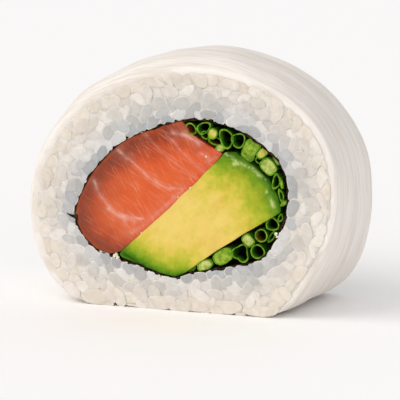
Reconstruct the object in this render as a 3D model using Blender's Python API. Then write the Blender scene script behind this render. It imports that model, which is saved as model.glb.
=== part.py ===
"""Uramaki roll: one slice with salmon, avocado and chives, nori, rice and a thin pale wrap.

The roll's axis runs along Y and its front cut face looks towards -Y. X is to the right, Z up, and the
origin lies under the middle of the roll. Sizes below are in millimetres.
"""

import math
import random

import bmesh
import bpy
from mathutils import Matrix, Vector

MM = 0.001

LENGTH = 25.0
FRONT_Y = -LENGTH / 2
GAP = 0.3

# The outlines below are measured from the hub, which stands this far right of the origin and above it.
HUB_X = 0.2
HUB_Z = 21.0

WRAP_FRONT = (
    (30.0, 23.0), (28.9, 30.0), (25.9, 35.4), (20.8, 40.0), (12.7, 43.6), (3.5, 45.0), (-5.6, 43.8),
    (-13.5, 41.1), (-20.3, 37.2), (-25.6, 31.6), (-28.7, 25.6), (-30.0, 18.5), (-29.1, 11.0),
    (-26.5, 5.6), (-22.8, 1.9), (-18.5, 0.3), (-9.5, 0.1), (0.0, 0.1), (9.5, 0.1), (16.8, 0.3),
    (20.9, 2.2), (25.3, 8.1), (28.5, 14.0),
)
WRAP_BACK = (
    (29.9, 20.5), (29.0, 27.5), (26.2, 33.4), (20.6, 39.6), (13.4, 43.9), (5.0, 46.3), (-5.0, 46.0),
    (-14.0, 42.9), (-21.2, 38.2), (-26.0, 32.2), (-28.9, 25.5), (-30.0, 18.0), (-29.3, 11.0),
    (-27.0, 5.5), (-23.4, 1.9), (-19.0, 0.3), (-9.5, 0.1), (0.0, 0.1), (9.5, 0.1), (18.5, 0.3),
    (23.6, 1.9), (27.3, 6.4), (29.2, 12.0),
)
NORI_LOOP = (
    (20.9, 21.3), (20.0, 27.6), (14.5, 32.6), (6.0, 35.7), (-4.5, 34.1), (-13.5, 29.3), (-18.8, 22.6),
    (-20.8, 16.2), (-16.5, 10.3), (-8.0, 8.0), (-1.2, 6.2), (6.5, 8.2), (14.5, 9.9), (18.8, 15.0),
)

WRAP_RIGHT_END = math.radians(-49.0)
WRAP_LEFT_END = math.radians(224.0)
WRAP_SIDES = 52
WRAP_THIN = 1.2
WRAP_THICK = 2.0
WRAP_THICK_TOWARDS = math.radians(190.0)
WRAP_END_TAPER = math.radians(9.0)
WRAP_END_THIN = 0.45
SWELL = 2.8
SWELL_TOWARDS = math.radians(105.0)
SWELL_LEAST = 0.25
SWELL_RISE = 2.5
SWELL_FALL = 0.7
SWELL_STATIONS = (0.0, 1.2, 3.5, 8.5, 15.5, 21.5, 24.0, LENGTH)

NORI_THICK = 0.4
NORI_SIDES = 84
NORI_RIPPLE = 0.18
NORI_RECESS = 0.3
NORI_REACH = NORI_THICK / 2 + NORI_RIPPLE + GAP

RICE_SIDES = 60
RICE_RECESS = 1.05
RICE_FLOOR = 1.0
RICE_SMOOTH_DEGREES = 60.0
CORE_PAST_WRAP = math.radians(5.0)

# Grain sizes are half lengths: along the grain, across it, and into the face.
GRAIN_RING = 5
GRAIN_ROWS = 4
GRAIN_BLUNT = 0.78
GRAIN_CLEAR = 0.06
GRAIN_PAST_WRAP = math.radians(1.5)
CUT_GRAIN = (1.8, 1.3, 1.2)
CUT_GRAIN_SIZES = (0.85, 1.1)
CUT_GRAIN_SPACING = 3.1
CUT_GRAIN_TRIES = 5000
CUT_GRAIN_FLOOR = 0.2
CUT_GRAIN_SEAT = 0.15
CUT_GRAIN_SHIFT = 0.12
CUT_GRAIN_TIP = math.radians(12.0)
WHOLE_GRAIN = (3.3, 1.35, 1.25)
WHOLE_GRAIN_SPACING = 3.9
WHOLE_GRAIN_TRIES = 2500
WHOLE_GRAIN_INSET = 0.4
WHOLE_GRAIN_TIP = math.radians(8.0)
BARE_LEFT = -19.0
BARE_RIGHT = 15.5

SALMON_TOP = math.radians(91.0)
SALMON_FOOT = math.radians(222.5)
SALMON_ARC_POINTS = 22
SALMON_CUT_EDGE = ((-11.9, 11.1), (-3.9, 17.9), (3.1, 24.7), (7.2, 28.7), (8.0, 29.7))
SALMON_END = ((7.2, 30.2), (5.6, 30.8), (4.4, 31.4), (3.0, 32.3), (1.5, 32.8), (0.8, 33.4))

AVOCADO_EDGE = (
    (7.6, 28.5), (8.8, 30.0), (11.1, 29.3), (13.6, 27.6), (16.2, 24.6), (18.6, 20.6), (18.7, 19.5),
    (11.9, 15.0), (6.3, 11.2), (0.8, 7.5), (-1.0, 6.9), (-3.7, 7.3), (-6.6, 8.5), (-11.3, 10.4),
    (-11.5, 10.9), (-3.5, 17.6), (3.5, 24.4),
)
AVOCADO_PITCH = 3.0
FILLING_RECESS = 0.1
FILLING_RIM = 0.5
FILLING_RELIEF = 0.35

# Chives: across, up, half width, half height, tilt in degrees, hollow or not.
UPPER_CHIVES = (
    (2.3, 34.0, 1.05, 0.95, -20.0, True),
    (4.7, 34.2, 1.45, 0.9, 30.0, True),
    (6.6, 33.2, 0.95, 1.1, 0.0, False),
    (4.8, 32.6, 0.85, 0.7, -35.0, True),
    (6.9, 31.6, 1.3, 0.7, -10.0, True),
    (9.2, 32.4, 1.25, 1.75, 15.0, True),
    (11.4, 32.1, 1.2, 1.25, 0.0, True),
    (13.8, 30.8, 1.35, 1.95, 40.0, False),
    (13.6, 29.5, 1.0, 1.1, 0.0, False),
    (15.9, 29.7, 1.0, 0.85, 40.0, False),
    (16.8, 27.6, 1.5, 1.25, -45.0, False),
    (18.6, 28.2, 0.8, 0.7, -45.0, False),
    (18.3, 25.1, 0.75, 1.45, -15.0, True),
    (19.3, 22.2, 0.65, 1.2, 5.0, False),
)
LOWER_CHIVES = (
    (18.3, 17.3, 1.0, 1.1, -20.0, True),
    (15.9, 15.1, 1.15, 1.05, 0.0, True),
    (13.6, 13.9, 1.3, 1.1, 20.0, True),
    (15.2, 12.3, 1.35, 1.35, 0.0, True),
    (12.1, 12.3, 1.6, 1.2, 30.0, True),
    (11.3, 11.1, 0.9, 0.75, 0.0, True),
    (8.5, 10.4, 1.75, 1.1, 30.0, False),
    (4.5, 8.6, 1.25, 0.75, 25.0, False),
)
UPPER_CORE = (
    (2.4, 33.8), (4.4, 32.5), (6.2, 31.6), (7.6, 30.9), (9.1, 30.8), (11.4, 30.0), (13.9, 28.3),
    (16.7, 25.1), (19.0, 21.4), (19.15, 19.3), (20.0, 19.3), (20.2, 21.8), (19.3, 25.2), (18.3, 28.2),
    (15.2, 30.8), (11.6, 32.8), (7.4, 34.1), (4.4, 34.6),
)
LOWER_CORE = (
    (18.9, 18.4), (15.7, 16.6), (12.6, 14.5), (7.0, 10.6), (3.6, 8.3), (5.6, 8.6), (9.5, 9.5),
    (13.2, 10.7), (15.7, 12.2), (17.6, 14.6), (18.7, 16.8),
)
CHIVE_SIDES = 9
CHIVE_WALL = 0.35
CHIVE_HOLLOW_DEPTH = 1.8
CHIVE_CORE_RECESS = 2.0
CHIVE_CORE_MARGIN = 0.15
CHIVE_CORE_PITCH = 2.0
CHIVE_UNEVEN = 0.25
CHIVE_SMOOTH_DEGREES = 50.0

SMOOTH_DEGREES = 40.0
SAME_PLACE = 0.01
SHORTEST_EDGE = 0.02
SEED = 11


def smooth_loop(points):
    """Radius round the hub as a smooth function of the angle, through points of a closed outline."""
    polar = sorted(
        (math.atan2(z - HUB_Z, x) % math.tau, math.hypot(x, z - HUB_Z)) for x, z in points
    )
    before = [(angle - math.tau, radius) for angle, radius in polar[-2:]]
    after = [(angle + math.tau, radius) for angle, radius in polar[:3]]
    knots = before + polar + after
    slopes = [0.0] + [
        (knots[i + 1][1] - knots[i - 1][1]) / (knots[i + 1][0] - knots[i - 1][0])
        for i in range(1, len(knots) - 1)
    ]

    def radius_at(angle):
        angle %= math.tau
        i = max(k for k in range(1, len(knots) - 2) if knots[k][0] <= angle)
        (start, low), (end, high) = knots[i], knots[i + 1]
        span = end - start
        u = (angle - start) / span
        return (
            (2 * u**3 - 3 * u**2 + 1) * low
            + (u**3 - 2 * u**2 + u) * span * slopes[i]
            + (3 * u**2 - 2 * u**3) * high
            + (u**3 - u**2) * span * slopes[i + 1]
        )

    return radius_at


front_radius = smooth_loop(WRAP_FRONT)
back_radius = smooth_loop(WRAP_BACK)
nori_radius = smooth_loop(NORI_LOOP)


def swell(angle, depth):
    """How far the side stands proud between the two cut faces."""
    share = SWELL_LEAST + (1 - SWELL_LEAST) * max(0.0, math.cos(angle - SWELL_TOWARDS))
    rise = 1 - math.exp(-depth / SWELL_RISE)
    fall = (1 - (depth / LENGTH) ** 2) ** SWELL_FALL
    return SWELL * share * rise * fall


def to_level(angle, level):
    """Radius at which a ray from the hub comes down to a level."""
    falling = -math.sin(angle)
    return (HUB_Z - level) / falling if falling > 0 else math.inf


def wrap_outside(angle, depth):
    """Radius of the wrap's outer face, which lies flat where it meets the floor."""
    along = depth / LENGTH
    free = front_radius(angle) * (1 - along) + back_radius(angle) * along + swell(angle, depth)
    return min(free, to_level(angle, 0.0))


def wrap_thickness(angle):
    """Thickness of the wrap, which thins out to its two long edges."""
    towards = max(0.0, math.cos(angle - WRAP_THICK_TOWARDS))
    full = WRAP_THIN + (WRAP_THICK - WRAP_THIN) * towards
    from_end = min(angle - WRAP_RIGHT_END, WRAP_LEFT_END - angle)
    share = min(1.0, max(0.0, from_end / WRAP_END_TAPER))
    return WRAP_END_THIN + (full - WRAP_END_THIN) * share


def wrap_inside(angle, depth):
    """Radius of the wrap's inner face."""
    return wrap_outside(angle, depth) - wrap_thickness(angle)


def at(angle, radius):
    """Point (across, up) at an angle and a radius round the hub."""
    return radius * math.cos(angle), HUB_Z + radius * math.sin(angle)


def rice_outside(angle, depth, floor, past_end):
    """Radius of the rice: under the wrap and a little past its ends, or down to a level elsewhere."""
    first = WRAP_RIGHT_END - past_end
    turned = (angle - first) % math.tau + first
    if turned > WRAP_LEFT_END + past_end:
        return min(to_level(angle, floor), wrap_outside(angle, depth))
    return min(to_level(angle, floor), wrap_inside(turned, depth) - GAP)


def material(name, colour, roughness):
    """Principled material of one colour."""
    made = bpy.data.materials.new(name)
    made.use_nodes = True
    shader = made.node_tree.nodes["Principled BSDF"]
    shader.inputs["Base Color"].default_value = (*colour, 1.0)
    shader.inputs["Roughness"].default_value = roughness
    made.diffuse_color = (*colour, 1.0)
    return made


def add_object(name, mesh, finish, smooth_degrees=SMOOTH_DEGREES):
    """Linked object from a bmesh, with outward normals and its material."""
    bmesh.ops.recalc_face_normals(mesh, faces=mesh.faces)
    data = bpy.data.meshes.new(name)
    mesh.to_mesh(data)
    mesh.free()
    data.materials.append(finish)
    data.shade_smooth()
    data.set_sharp_from_angle(angle=math.radians(smooth_degrees))
    made = bpy.data.objects.new(name, data)
    bpy.context.scene.collection.objects.link(made)
    return made


def in_metres(x, y, z):
    """Place in metres from one in millimetres, measured across from the hub."""
    return Vector(((x + HUB_X) * MM, y * MM, z * MM))


def solid_through(section, faces, depths):
    """Bmesh of a solid that runs along the roll.

    `section(depth)` gives its outline points (across, up) at a depth behind the front face, always
    in the same order, and `faces` are the faces of that section as tuples of places in the outline.
    """
    mesh = bmesh.new()
    place = mesh.verts.layers.int.new("place")
    start = []
    for i, (x, z) in enumerate(section(depths[0])):
        vert = mesh.verts.new(in_metres(x, FRONT_Y + depths[0], z))
        vert[place] = i
        start.append(vert)
    region = [mesh.faces.new([start[i] for i in face]) for face in faces]
    for step, depth in enumerate(depths[1:]):
        grown = bmesh.ops.extrude_face_region(mesh, geom=region)["geom"]
        if step > 0:
            bmesh.ops.delete(mesh, geom=region, context="FACES_ONLY")
        points = section(depth)
        for vert in (item for item in grown if isinstance(item, bmesh.types.BMVert)):
            x, z = points[vert[place]]
            vert.co = in_metres(x, FRONT_Y + depth, z)
        region = [item for item in grown if isinstance(item, bmesh.types.BMFace)]
    return mesh


def strip_faces(count, closed):
    """Faces between an outer row of `count` points and an inner row that follows it."""
    last = count if closed else count - 1
    return [(i, (i + 1) % count, count + (i + 1) % count, count + i) for i in range(last)]


def spread(start, end, count):
    """Evenly spaced values from start to end."""
    return [start + (end - start) * i / (count - 1) for i in range(count)]


def build_wrap():
    """Thin pale sheet round the sides and the top, open underneath."""
    angles = spread(WRAP_RIGHT_END, WRAP_LEFT_END, WRAP_SIDES + 1)

    def section(depth):
        outer = [at(angle, wrap_outside(angle, depth)) for angle in angles]
        inner = [at(angle, wrap_inside(angle, depth)) for angle in angles]
        return outer + inner

    mesh = solid_through(section, strip_faces(len(angles), False), SWELL_STATIONS)
    add_object("outer_wrap", mesh, material("wrap_sheet", (0.86, 0.83, 0.78), 0.55))


def build_nori():
    """Dark seaweed sheet, rippled where the grains press into it."""
    angles = [math.tau * i / NORI_SIDES for i in range(NORI_SIDES)]
    draw = random.Random(SEED)
    ripple = [draw.uniform(-NORI_RIPPLE, NORI_RIPPLE) for _ in angles]

    def section(depth):
        middle = [nori_radius(angle) + bump for angle, bump in zip(angles, ripple)]
        outer = [at(angle, radius + NORI_THICK / 2) for angle, radius in zip(angles, middle)]
        inner = [at(angle, radius - NORI_THICK / 2) for angle, radius in zip(angles, middle)]
        return outer + inner

    mesh = solid_through(section, strip_faces(NORI_SIDES, True), (NORI_RECESS, LENGTH - NORI_RECESS))
    add_object("nori", mesh, material("nori_sheet", (0.012, 0.014, 0.009), 0.5))


def hold_in_ring(point):
    """Grain point in metres, kept between the nori and the wrap, and above the floor."""
    x, y, z = point
    depth = min(max(y - FRONT_Y, 0.0), LENGTH)
    angle = math.atan2(z - HUB_Z, x)
    radius = math.hypot(x, z - HUB_Z)
    low = nori_radius(angle) + NORI_REACH + GRAIN_CLEAR
    high = rice_outside(angle, depth, 0.0, GRAIN_PAST_WRAP) - GRAIN_CLEAR
    x, z = at(angle, min(max(radius, low), high))
    face = -FRONT_Y - GRAIN_CLEAR
    return in_metres(x, min(max(y, -face), face), max(z, 0.0))


def add_grain(group, centre, halves, turn, tip):
    """One grain as its own object: an egg-shaped ball of few sides, turned in its face and tipped."""
    mesh = bmesh.new()
    bmesh.ops.create_uvsphere(mesh, u_segments=GRAIN_RING, v_segments=GRAIN_ROWS, radius=1.0)
    for vert in mesh.verts:
        spread_out = math.hypot(vert.co.x, vert.co.y)
        if spread_out > 0.01:
            vert.co.xy *= spread_out ** (GRAIN_BLUNT - 1)
            vert.co.z = math.copysign(abs(vert.co.z) ** GRAIN_BLUNT, vert.co.z)
    lie_down = Matrix.Rotation(math.radians(90), 4, "Y")
    shape = Matrix.Diagonal((*halves, 1.0)) @ lie_down
    place = Matrix.Translation(centre) @ turn @ tip @ shape
    bmesh.ops.transform(mesh, matrix=place, verts=mesh.verts)
    for vert in mesh.verts:
        vert.co = hold_in_ring(vert.co)
    bmesh.ops.dissolve_degenerate(mesh, dist=SHORTEST_EDGE * MM, edges=mesh.edges)
    bmesh.ops.triangulate(mesh, faces=mesh.faces)
    data = bpy.data.meshes.new("grain")
    mesh.to_mesh(data)
    mesh.free()
    group.objects.link(bpy.data.objects.new("grain", data))


def spaced_places(draw, tries, spacing, propose):
    """Places drawn one by one, each kept where it is clear of those before it."""
    kept = []
    for _ in range(tries):
        place = propose(draw)
        if place and all(math.dist(place, other) >= spacing for other in kept):
            kept.append(place)
    return kept


def cut_face_place(draw):
    """A place on the rice of a cut face."""
    angle = draw.uniform(0.0, math.tau)
    low = nori_radius(angle) + NORI_REACH + CUT_GRAIN[1]
    high = rice_outside(angle, 0.0, CUT_GRAIN_FLOOR, GRAIN_PAST_WRAP) - CUT_GRAIN[1]
    radius = math.sqrt(draw.uniform(low * low, high * high))
    return at(angle, radius)


def underside_place(draw):
    """A place on the bare underside."""
    edge = FRONT_Y + WHOLE_GRAIN[1] + WHOLE_GRAIN_INSET
    return draw.uniform(BARE_LEFT, BARE_RIGHT), draw.uniform(edge, -edge)


def add_cut_grains(group, draw, centre_y):
    """Grains that show in a cut face."""
    for x, z in spaced_places(draw, CUT_GRAIN_TRIES, CUT_GRAIN_SPACING, cut_face_place):
        size = draw.uniform(*CUT_GRAIN_SIZES)
        turn = Matrix.Rotation(draw.uniform(0.0, math.pi), 4, "Y")
        tip = Matrix.Rotation(draw.uniform(-CUT_GRAIN_TIP, CUT_GRAIN_TIP), 4, "Z")
        halves = (CUT_GRAIN[0] * size, CUT_GRAIN[2], CUT_GRAIN[1] * size)
        centre = (x, centre_y + draw.uniform(-CUT_GRAIN_SHIFT, CUT_GRAIN_SHIFT), z)
        add_grain(group, centre, halves, turn, tip)


def add_whole_grains(group, draw):
    """Whole grains on the bare underside."""
    for x, y in spaced_places(draw, WHOLE_GRAIN_TRIES, WHOLE_GRAIN_SPACING, underside_place):
        turn = Matrix.Rotation(draw.uniform(0.0, math.pi), 4, "Z")
        tip = Matrix.Rotation(draw.uniform(-WHOLE_GRAIN_TIP, WHOLE_GRAIN_TIP), 4, "Y")
        add_grain(group, (x, y, RICE_FLOOR), WHOLE_GRAIN, turn, tip)


def fuse(body, group):
    """Union of a body with every object in a group, which is then removed."""
    union = body.modifiers.new("fuse", "BOOLEAN")
    union.operation = "UNION"
    union.operand_type = "COLLECTION"
    union.collection = group
    union.solver = "EXACT"
    scene_view = bpy.context.evaluated_depsgraph_get()
    fused = bpy.data.meshes.new_from_object(body.evaluated_get(scene_view))
    body.modifiers.remove(union)
    body.data = fused
    for loose in list(group.objects):
        bpy.data.objects.remove(loose)
    bpy.data.collections.remove(group)


def keep_outer_shell(body):
    """Only the largest closed shell of a body: sealed hollows and loose scraps go."""
    mesh = bmesh.new()
    mesh.from_mesh(body.data)
    bmesh.ops.remove_doubles(mesh, verts=mesh.verts, dist=SAME_PLACE * MM)
    bmesh.ops.dissolve_degenerate(mesh, dist=SAME_PLACE * MM, edges=mesh.edges)
    unseen = set(mesh.faces)
    shells = []
    while unseen:
        shell = [unseen.pop()]
        for face in shell:
            for edge in face.edges:
                for other in edge.link_faces:
                    if other in unseen:
                        unseen.remove(other)
                        shell.append(other)
        shells.append(shell)
    shells.sort(key=len)
    scraps = [face for shell in shells[:-1] for face in shell]
    bmesh.ops.delete(mesh, geom=scraps, context="FACES")
    mesh.to_mesh(body.data)
    mesh.free()


def build_rice():
    """Rice ring: a core with grains fused on its cut faces and its bare underside."""
    angles = [math.tau * i / RICE_SIDES for i in range(RICE_SIDES)]

    def section(depth):
        reach = [rice_outside(angle, depth, RICE_FLOOR, CORE_PAST_WRAP) for angle in angles]
        outer = [at(angle, radius) for angle, radius in zip(angles, reach)]
        inner = [at(angle, nori_radius(angle) + NORI_REACH) for angle in angles]
        return outer + inner

    depths = (RICE_RECESS,) + SWELL_STATIONS[2:-2] + (LENGTH - RICE_RECESS,)
    mesh = solid_through(section, strip_faces(RICE_SIDES, True), depths)
    finish = material("cooked_rice", (0.72, 0.70, 0.68), 0.4)
    rice = add_object("rice", mesh, finish, RICE_SMOOTH_DEGREES)

    group = bpy.data.collections.new("grains")
    bpy.context.scene.collection.children.link(group)
    draw = random.Random(SEED)
    grains_y = FRONT_Y + RICE_RECESS + CUT_GRAIN_SEAT
    add_cut_grains(group, draw, grains_y)
    add_cut_grains(group, draw, -grains_y)
    add_whole_grains(group, draw)
    fuse(rice, group)
    keep_outer_shell(rice)


def inside_nori(points, margin=0.0):
    """Points drawn in where they come too near the nori."""
    held = []
    for x, z in points:
        angle = math.atan2(z - HUB_Z, x)
        radius = min(math.hypot(x, z - HUB_Z), nori_radius(angle) - NORI_REACH - margin)
        held.append(at(angle, radius))
    return held


def subdivided(points, longest):
    """Closed outline with points added where its sides are long."""
    dense = []
    for (x0, z0), (x1, z1) in zip(points, points[1:] + points[:1]):
        steps = max(1, math.ceil(math.dist((x0, z0), (x1, z1)) / longest))
        dense += [(x0 + (x1 - x0) * i / steps, z0 + (z1 - z0) * i / steps) for i in range(steps)]
    return dense


def build_filling(name, outline, finish):
    """Filling that runs through the roll, its cut faces slightly rounded at the rim."""
    middle_x = sum(x for x, _ in outline) / len(outline)
    middle_z = sum(z for _, z in outline) / len(outline)

    def section(depth):
        from_face = min(depth, LENGTH - depth)
        drawn_in = FILLING_RELIEF if from_face < FILLING_RIM else 0.0
        points = []
        for x, z in outline:
            reach = math.dist((x, z), (middle_x, middle_z))
            share = 1 - drawn_in / reach
            points.append((middle_x + (x - middle_x) * share, middle_z + (z - middle_z) * share))
        return points

    depths = (FILLING_RECESS, FILLING_RIM, LENGTH - FILLING_RIM, LENGTH - FILLING_RECESS)
    mesh = solid_through(section, [tuple(range(len(outline)))], depths)
    add_object(name, mesh, finish)


def build_salmon():
    """Salmon: round against the nori, cut straight where it lies against the avocado."""
    arc = [
        at(angle, nori_radius(angle) - NORI_REACH)
        for angle in spread(SALMON_TOP, SALMON_FOOT, SALMON_ARC_POINTS)
    ]
    outline = inside_nori(arc + list(SALMON_CUT_EDGE + SALMON_END))
    build_filling("salmon", outline, material("salmon_flesh", (0.80, 0.17, 0.06), 0.35))


def build_avocado():
    """Avocado baton: a slanting wedge with straight cut sides."""
    outline = inside_nori(subdivided(list(AVOCADO_EDGE), AVOCADO_PITCH))
    build_filling("avocado", outline, material("avocado_flesh", (0.72, 0.60, 0.14), 0.4))


def chive_outline(across, up, half_width, half_height, tilt):
    """Oval outline of one chive, tilted in the cut face."""
    turn = math.radians(tilt)
    points = []
    for i in range(CHIVE_SIDES):
        angle = math.tau * i / CHIVE_SIDES
        x = half_width * math.cos(angle)
        z = half_height * math.sin(angle)
        points.append((
            across + x * math.cos(turn) - z * math.sin(turn),
            up + x * math.sin(turn) + z * math.cos(turn),
        ))
    return inside_nori(points)


def add_chive(group, chive, uneven):
    """One chive or stem along the whole roll, with a hollow in both ends where it is a tube."""
    *oval, hollow = chive
    outer = chive_outline(*oval)
    first, last = FILLING_RECESS + uneven, LENGTH - FILLING_RECESS - uneven
    mesh = solid_through(lambda depth: outer, [tuple(range(CHIVE_SIDES))], (first, last))
    if hollow:
        ends = [face for face in mesh.faces if len(face.verts) == CHIVE_SIDES]
        for face in ends:
            inward = 1.0 if face.calc_center_median().y < 0 else -1.0
            bmesh.ops.inset_region(mesh, faces=[face], thickness=CHIVE_WALL * MM)
            grown = bmesh.ops.extrude_face_region(mesh, geom=[face])["geom"]
            bmesh.ops.delete(mesh, geom=[face], context="FACES_ONLY")
            moved = [item for item in grown if isinstance(item, bmesh.types.BMVert)]
            step = Vector((0.0, inward * CHIVE_HOLLOW_DEPTH * MM, 0.0))
            bmesh.ops.translate(mesh, vec=step, verts=moved)
    bmesh.ops.recalc_face_normals(mesh, faces=mesh.faces)
    data = bpy.data.meshes.new("chive")
    mesh.to_mesh(data)
    mesh.free()
    group.objects.link(bpy.data.objects.new("chive", data))


def build_chives(name, chives, core_outline):
    """Bundle of chives: a core between the fillings and the nori, with the chives fused on."""
    core = inside_nori(subdivided(list(core_outline), CHIVE_CORE_PITCH), CHIVE_CORE_MARGIN)
    depths = (CHIVE_CORE_RECESS, LENGTH - CHIVE_CORE_RECESS)
    mesh = solid_through(lambda depth: core, [tuple(range(len(core)))], depths)
    finish = material(name + "_green", (0.12, 0.30, 0.03), 0.4)
    bundle = add_object(name, mesh, finish, CHIVE_SMOOTH_DEGREES)
    group = bpy.data.collections.new(name + "_stems")
    bpy.context.scene.collection.children.link(group)
    draw = random.Random(SEED)
    for chive in chives:
        add_chive(group, chive, draw.uniform(0.0, CHIVE_UNEVEN))
    fuse(bundle, group)
    keep_outer_shell(bundle)


def clear_scene():
    """Remove what the scene holds at the start."""
    for old in list(bpy.data.objects):
        bpy.data.objects.remove(old)


def main():
    """Build every piece of the roll."""
    clear_scene()
    build_wrap()
    build_rice()
    build_nori()
    build_salmon()
    build_avocado()
    build_chives("chives_upper", UPPER_CHIVES, UPPER_CORE)
    build_chives("chives_lower", LOWER_CHIVES, LOWER_CORE)


main()
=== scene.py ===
"""Dressing of the uramaki roll: wrap, rice, nori, salmon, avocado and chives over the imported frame.

Sizes are in millimetres. "Across" and "up" are measured in the cut face, from the point on the floor
below the roll's hub, and "depth" is measured back from the front cut face. Meshes are placed in metres.
"""

import logging
import math
from collections.abc import Callable, Iterable, Sequence
from dataclasses import dataclass, field
from enum import Enum
from functools import cached_property

import bmesh
import bpy
import numpy as np
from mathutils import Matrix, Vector, noise


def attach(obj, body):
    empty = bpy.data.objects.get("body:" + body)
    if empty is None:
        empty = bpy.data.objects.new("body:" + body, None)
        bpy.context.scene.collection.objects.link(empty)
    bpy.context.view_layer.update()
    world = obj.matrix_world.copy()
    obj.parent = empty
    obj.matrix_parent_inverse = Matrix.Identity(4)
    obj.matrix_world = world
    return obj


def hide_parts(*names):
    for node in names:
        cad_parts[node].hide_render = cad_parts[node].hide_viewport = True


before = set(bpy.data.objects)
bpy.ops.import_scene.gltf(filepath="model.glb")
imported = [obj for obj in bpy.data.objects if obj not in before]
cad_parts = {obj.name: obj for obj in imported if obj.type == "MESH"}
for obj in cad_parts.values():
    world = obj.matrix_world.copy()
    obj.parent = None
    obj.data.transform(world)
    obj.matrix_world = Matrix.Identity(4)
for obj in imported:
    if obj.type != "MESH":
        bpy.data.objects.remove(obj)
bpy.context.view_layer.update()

LOG = logging.getLogger("uramaki")

MM = 0.001
LENGTH = 25.0
FRONT_Y = -LENGTH / 2
HUB_X = 0.2
HUB_Z = 21.0
TAU = math.tau

Point = tuple[float, float]
Place = tuple[float, float, float]
Colour = tuple[float, float, float, float]
Socket = bpy.types.NodeSocket


def linear(code: str) -> Colour:
    """Turn an sRGB hex colour into linear values.

    Args:
        code: Six hex digits, such as "f2ece4".

    Returns:
        Linear red, green and blue, and an alpha of 1.
    """
    parts = [int(code[i:i + 2], 16) / 255 for i in (0, 2, 4)]
    flat = [c / 12.92 if c <= 0.04045 else ((c + 0.055) / 1.055) ** 2.4 for c in parts]
    return flat[0], flat[1], flat[2], 1.0


def rough(places: np.ndarray, size: float, seed: float = 0.0) -> np.ndarray:
    """Smooth noise from about -1 to 1.

    Args:
        places: Rows of three coordinates in millimetres.
        size: Size of its features.
        seed: Shift that picks another pattern.

    Returns:
        One value for each row.
    """
    shifted = np.asarray(places, float) / size + np.array([seed, seed * 1.7, -seed])
    return np.array([noise.noise(row) for row in shifted.tolist()])


def smoothstep(low: float, high: float, value: np.ndarray | float) -> np.ndarray:
    """Ease in between two values.

    Args:
        low: Value up to which the share is 0.
        high: Value from which the share is 1.
        value: Values to look up.

    Returns:
        A share for each value.
    """
    share = np.clip((np.asarray(value, float) - low) / (high - low), 0.0, 1.0)
    return share * share * (3 - 2 * share)


def spots_of(verts: Iterable[bmesh.types.BMVert]) -> np.ndarray:
    """Coordinates of points of a mesh, a row for each."""
    return np.array([vert.co[:] for vert in verts])


def put(verts: Iterable[bmesh.types.BMVert], places: np.ndarray) -> None:
    """Move points of a mesh.

    Args:
        verts: Points to move.
        places: A row of (across, depth, up) in millimetres for each.
    """
    metres = (np.asarray(places) + np.array([HUB_X, FRONT_Y, 0.0])) * MM
    for vert, place in zip(verts, metres.tolist()):
        vert.co = place


def polar(places: np.ndarray) -> tuple[np.ndarray, np.ndarray]:
    """Angles and radii round the hub of places (across, up)."""
    across, up = places[..., 0], places[..., 1] - HUB_Z
    return np.arctan2(up, across), np.hypot(across, up)


def round_hub(turn: np.ndarray, radius: np.ndarray, depth: np.ndarray) -> np.ndarray:
    """Rows of (across, depth, up) at angles, radii and depths."""
    return np.stack([radius * np.cos(turn), depth, HUB_Z + radius * np.sin(turn)], axis=1)


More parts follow.
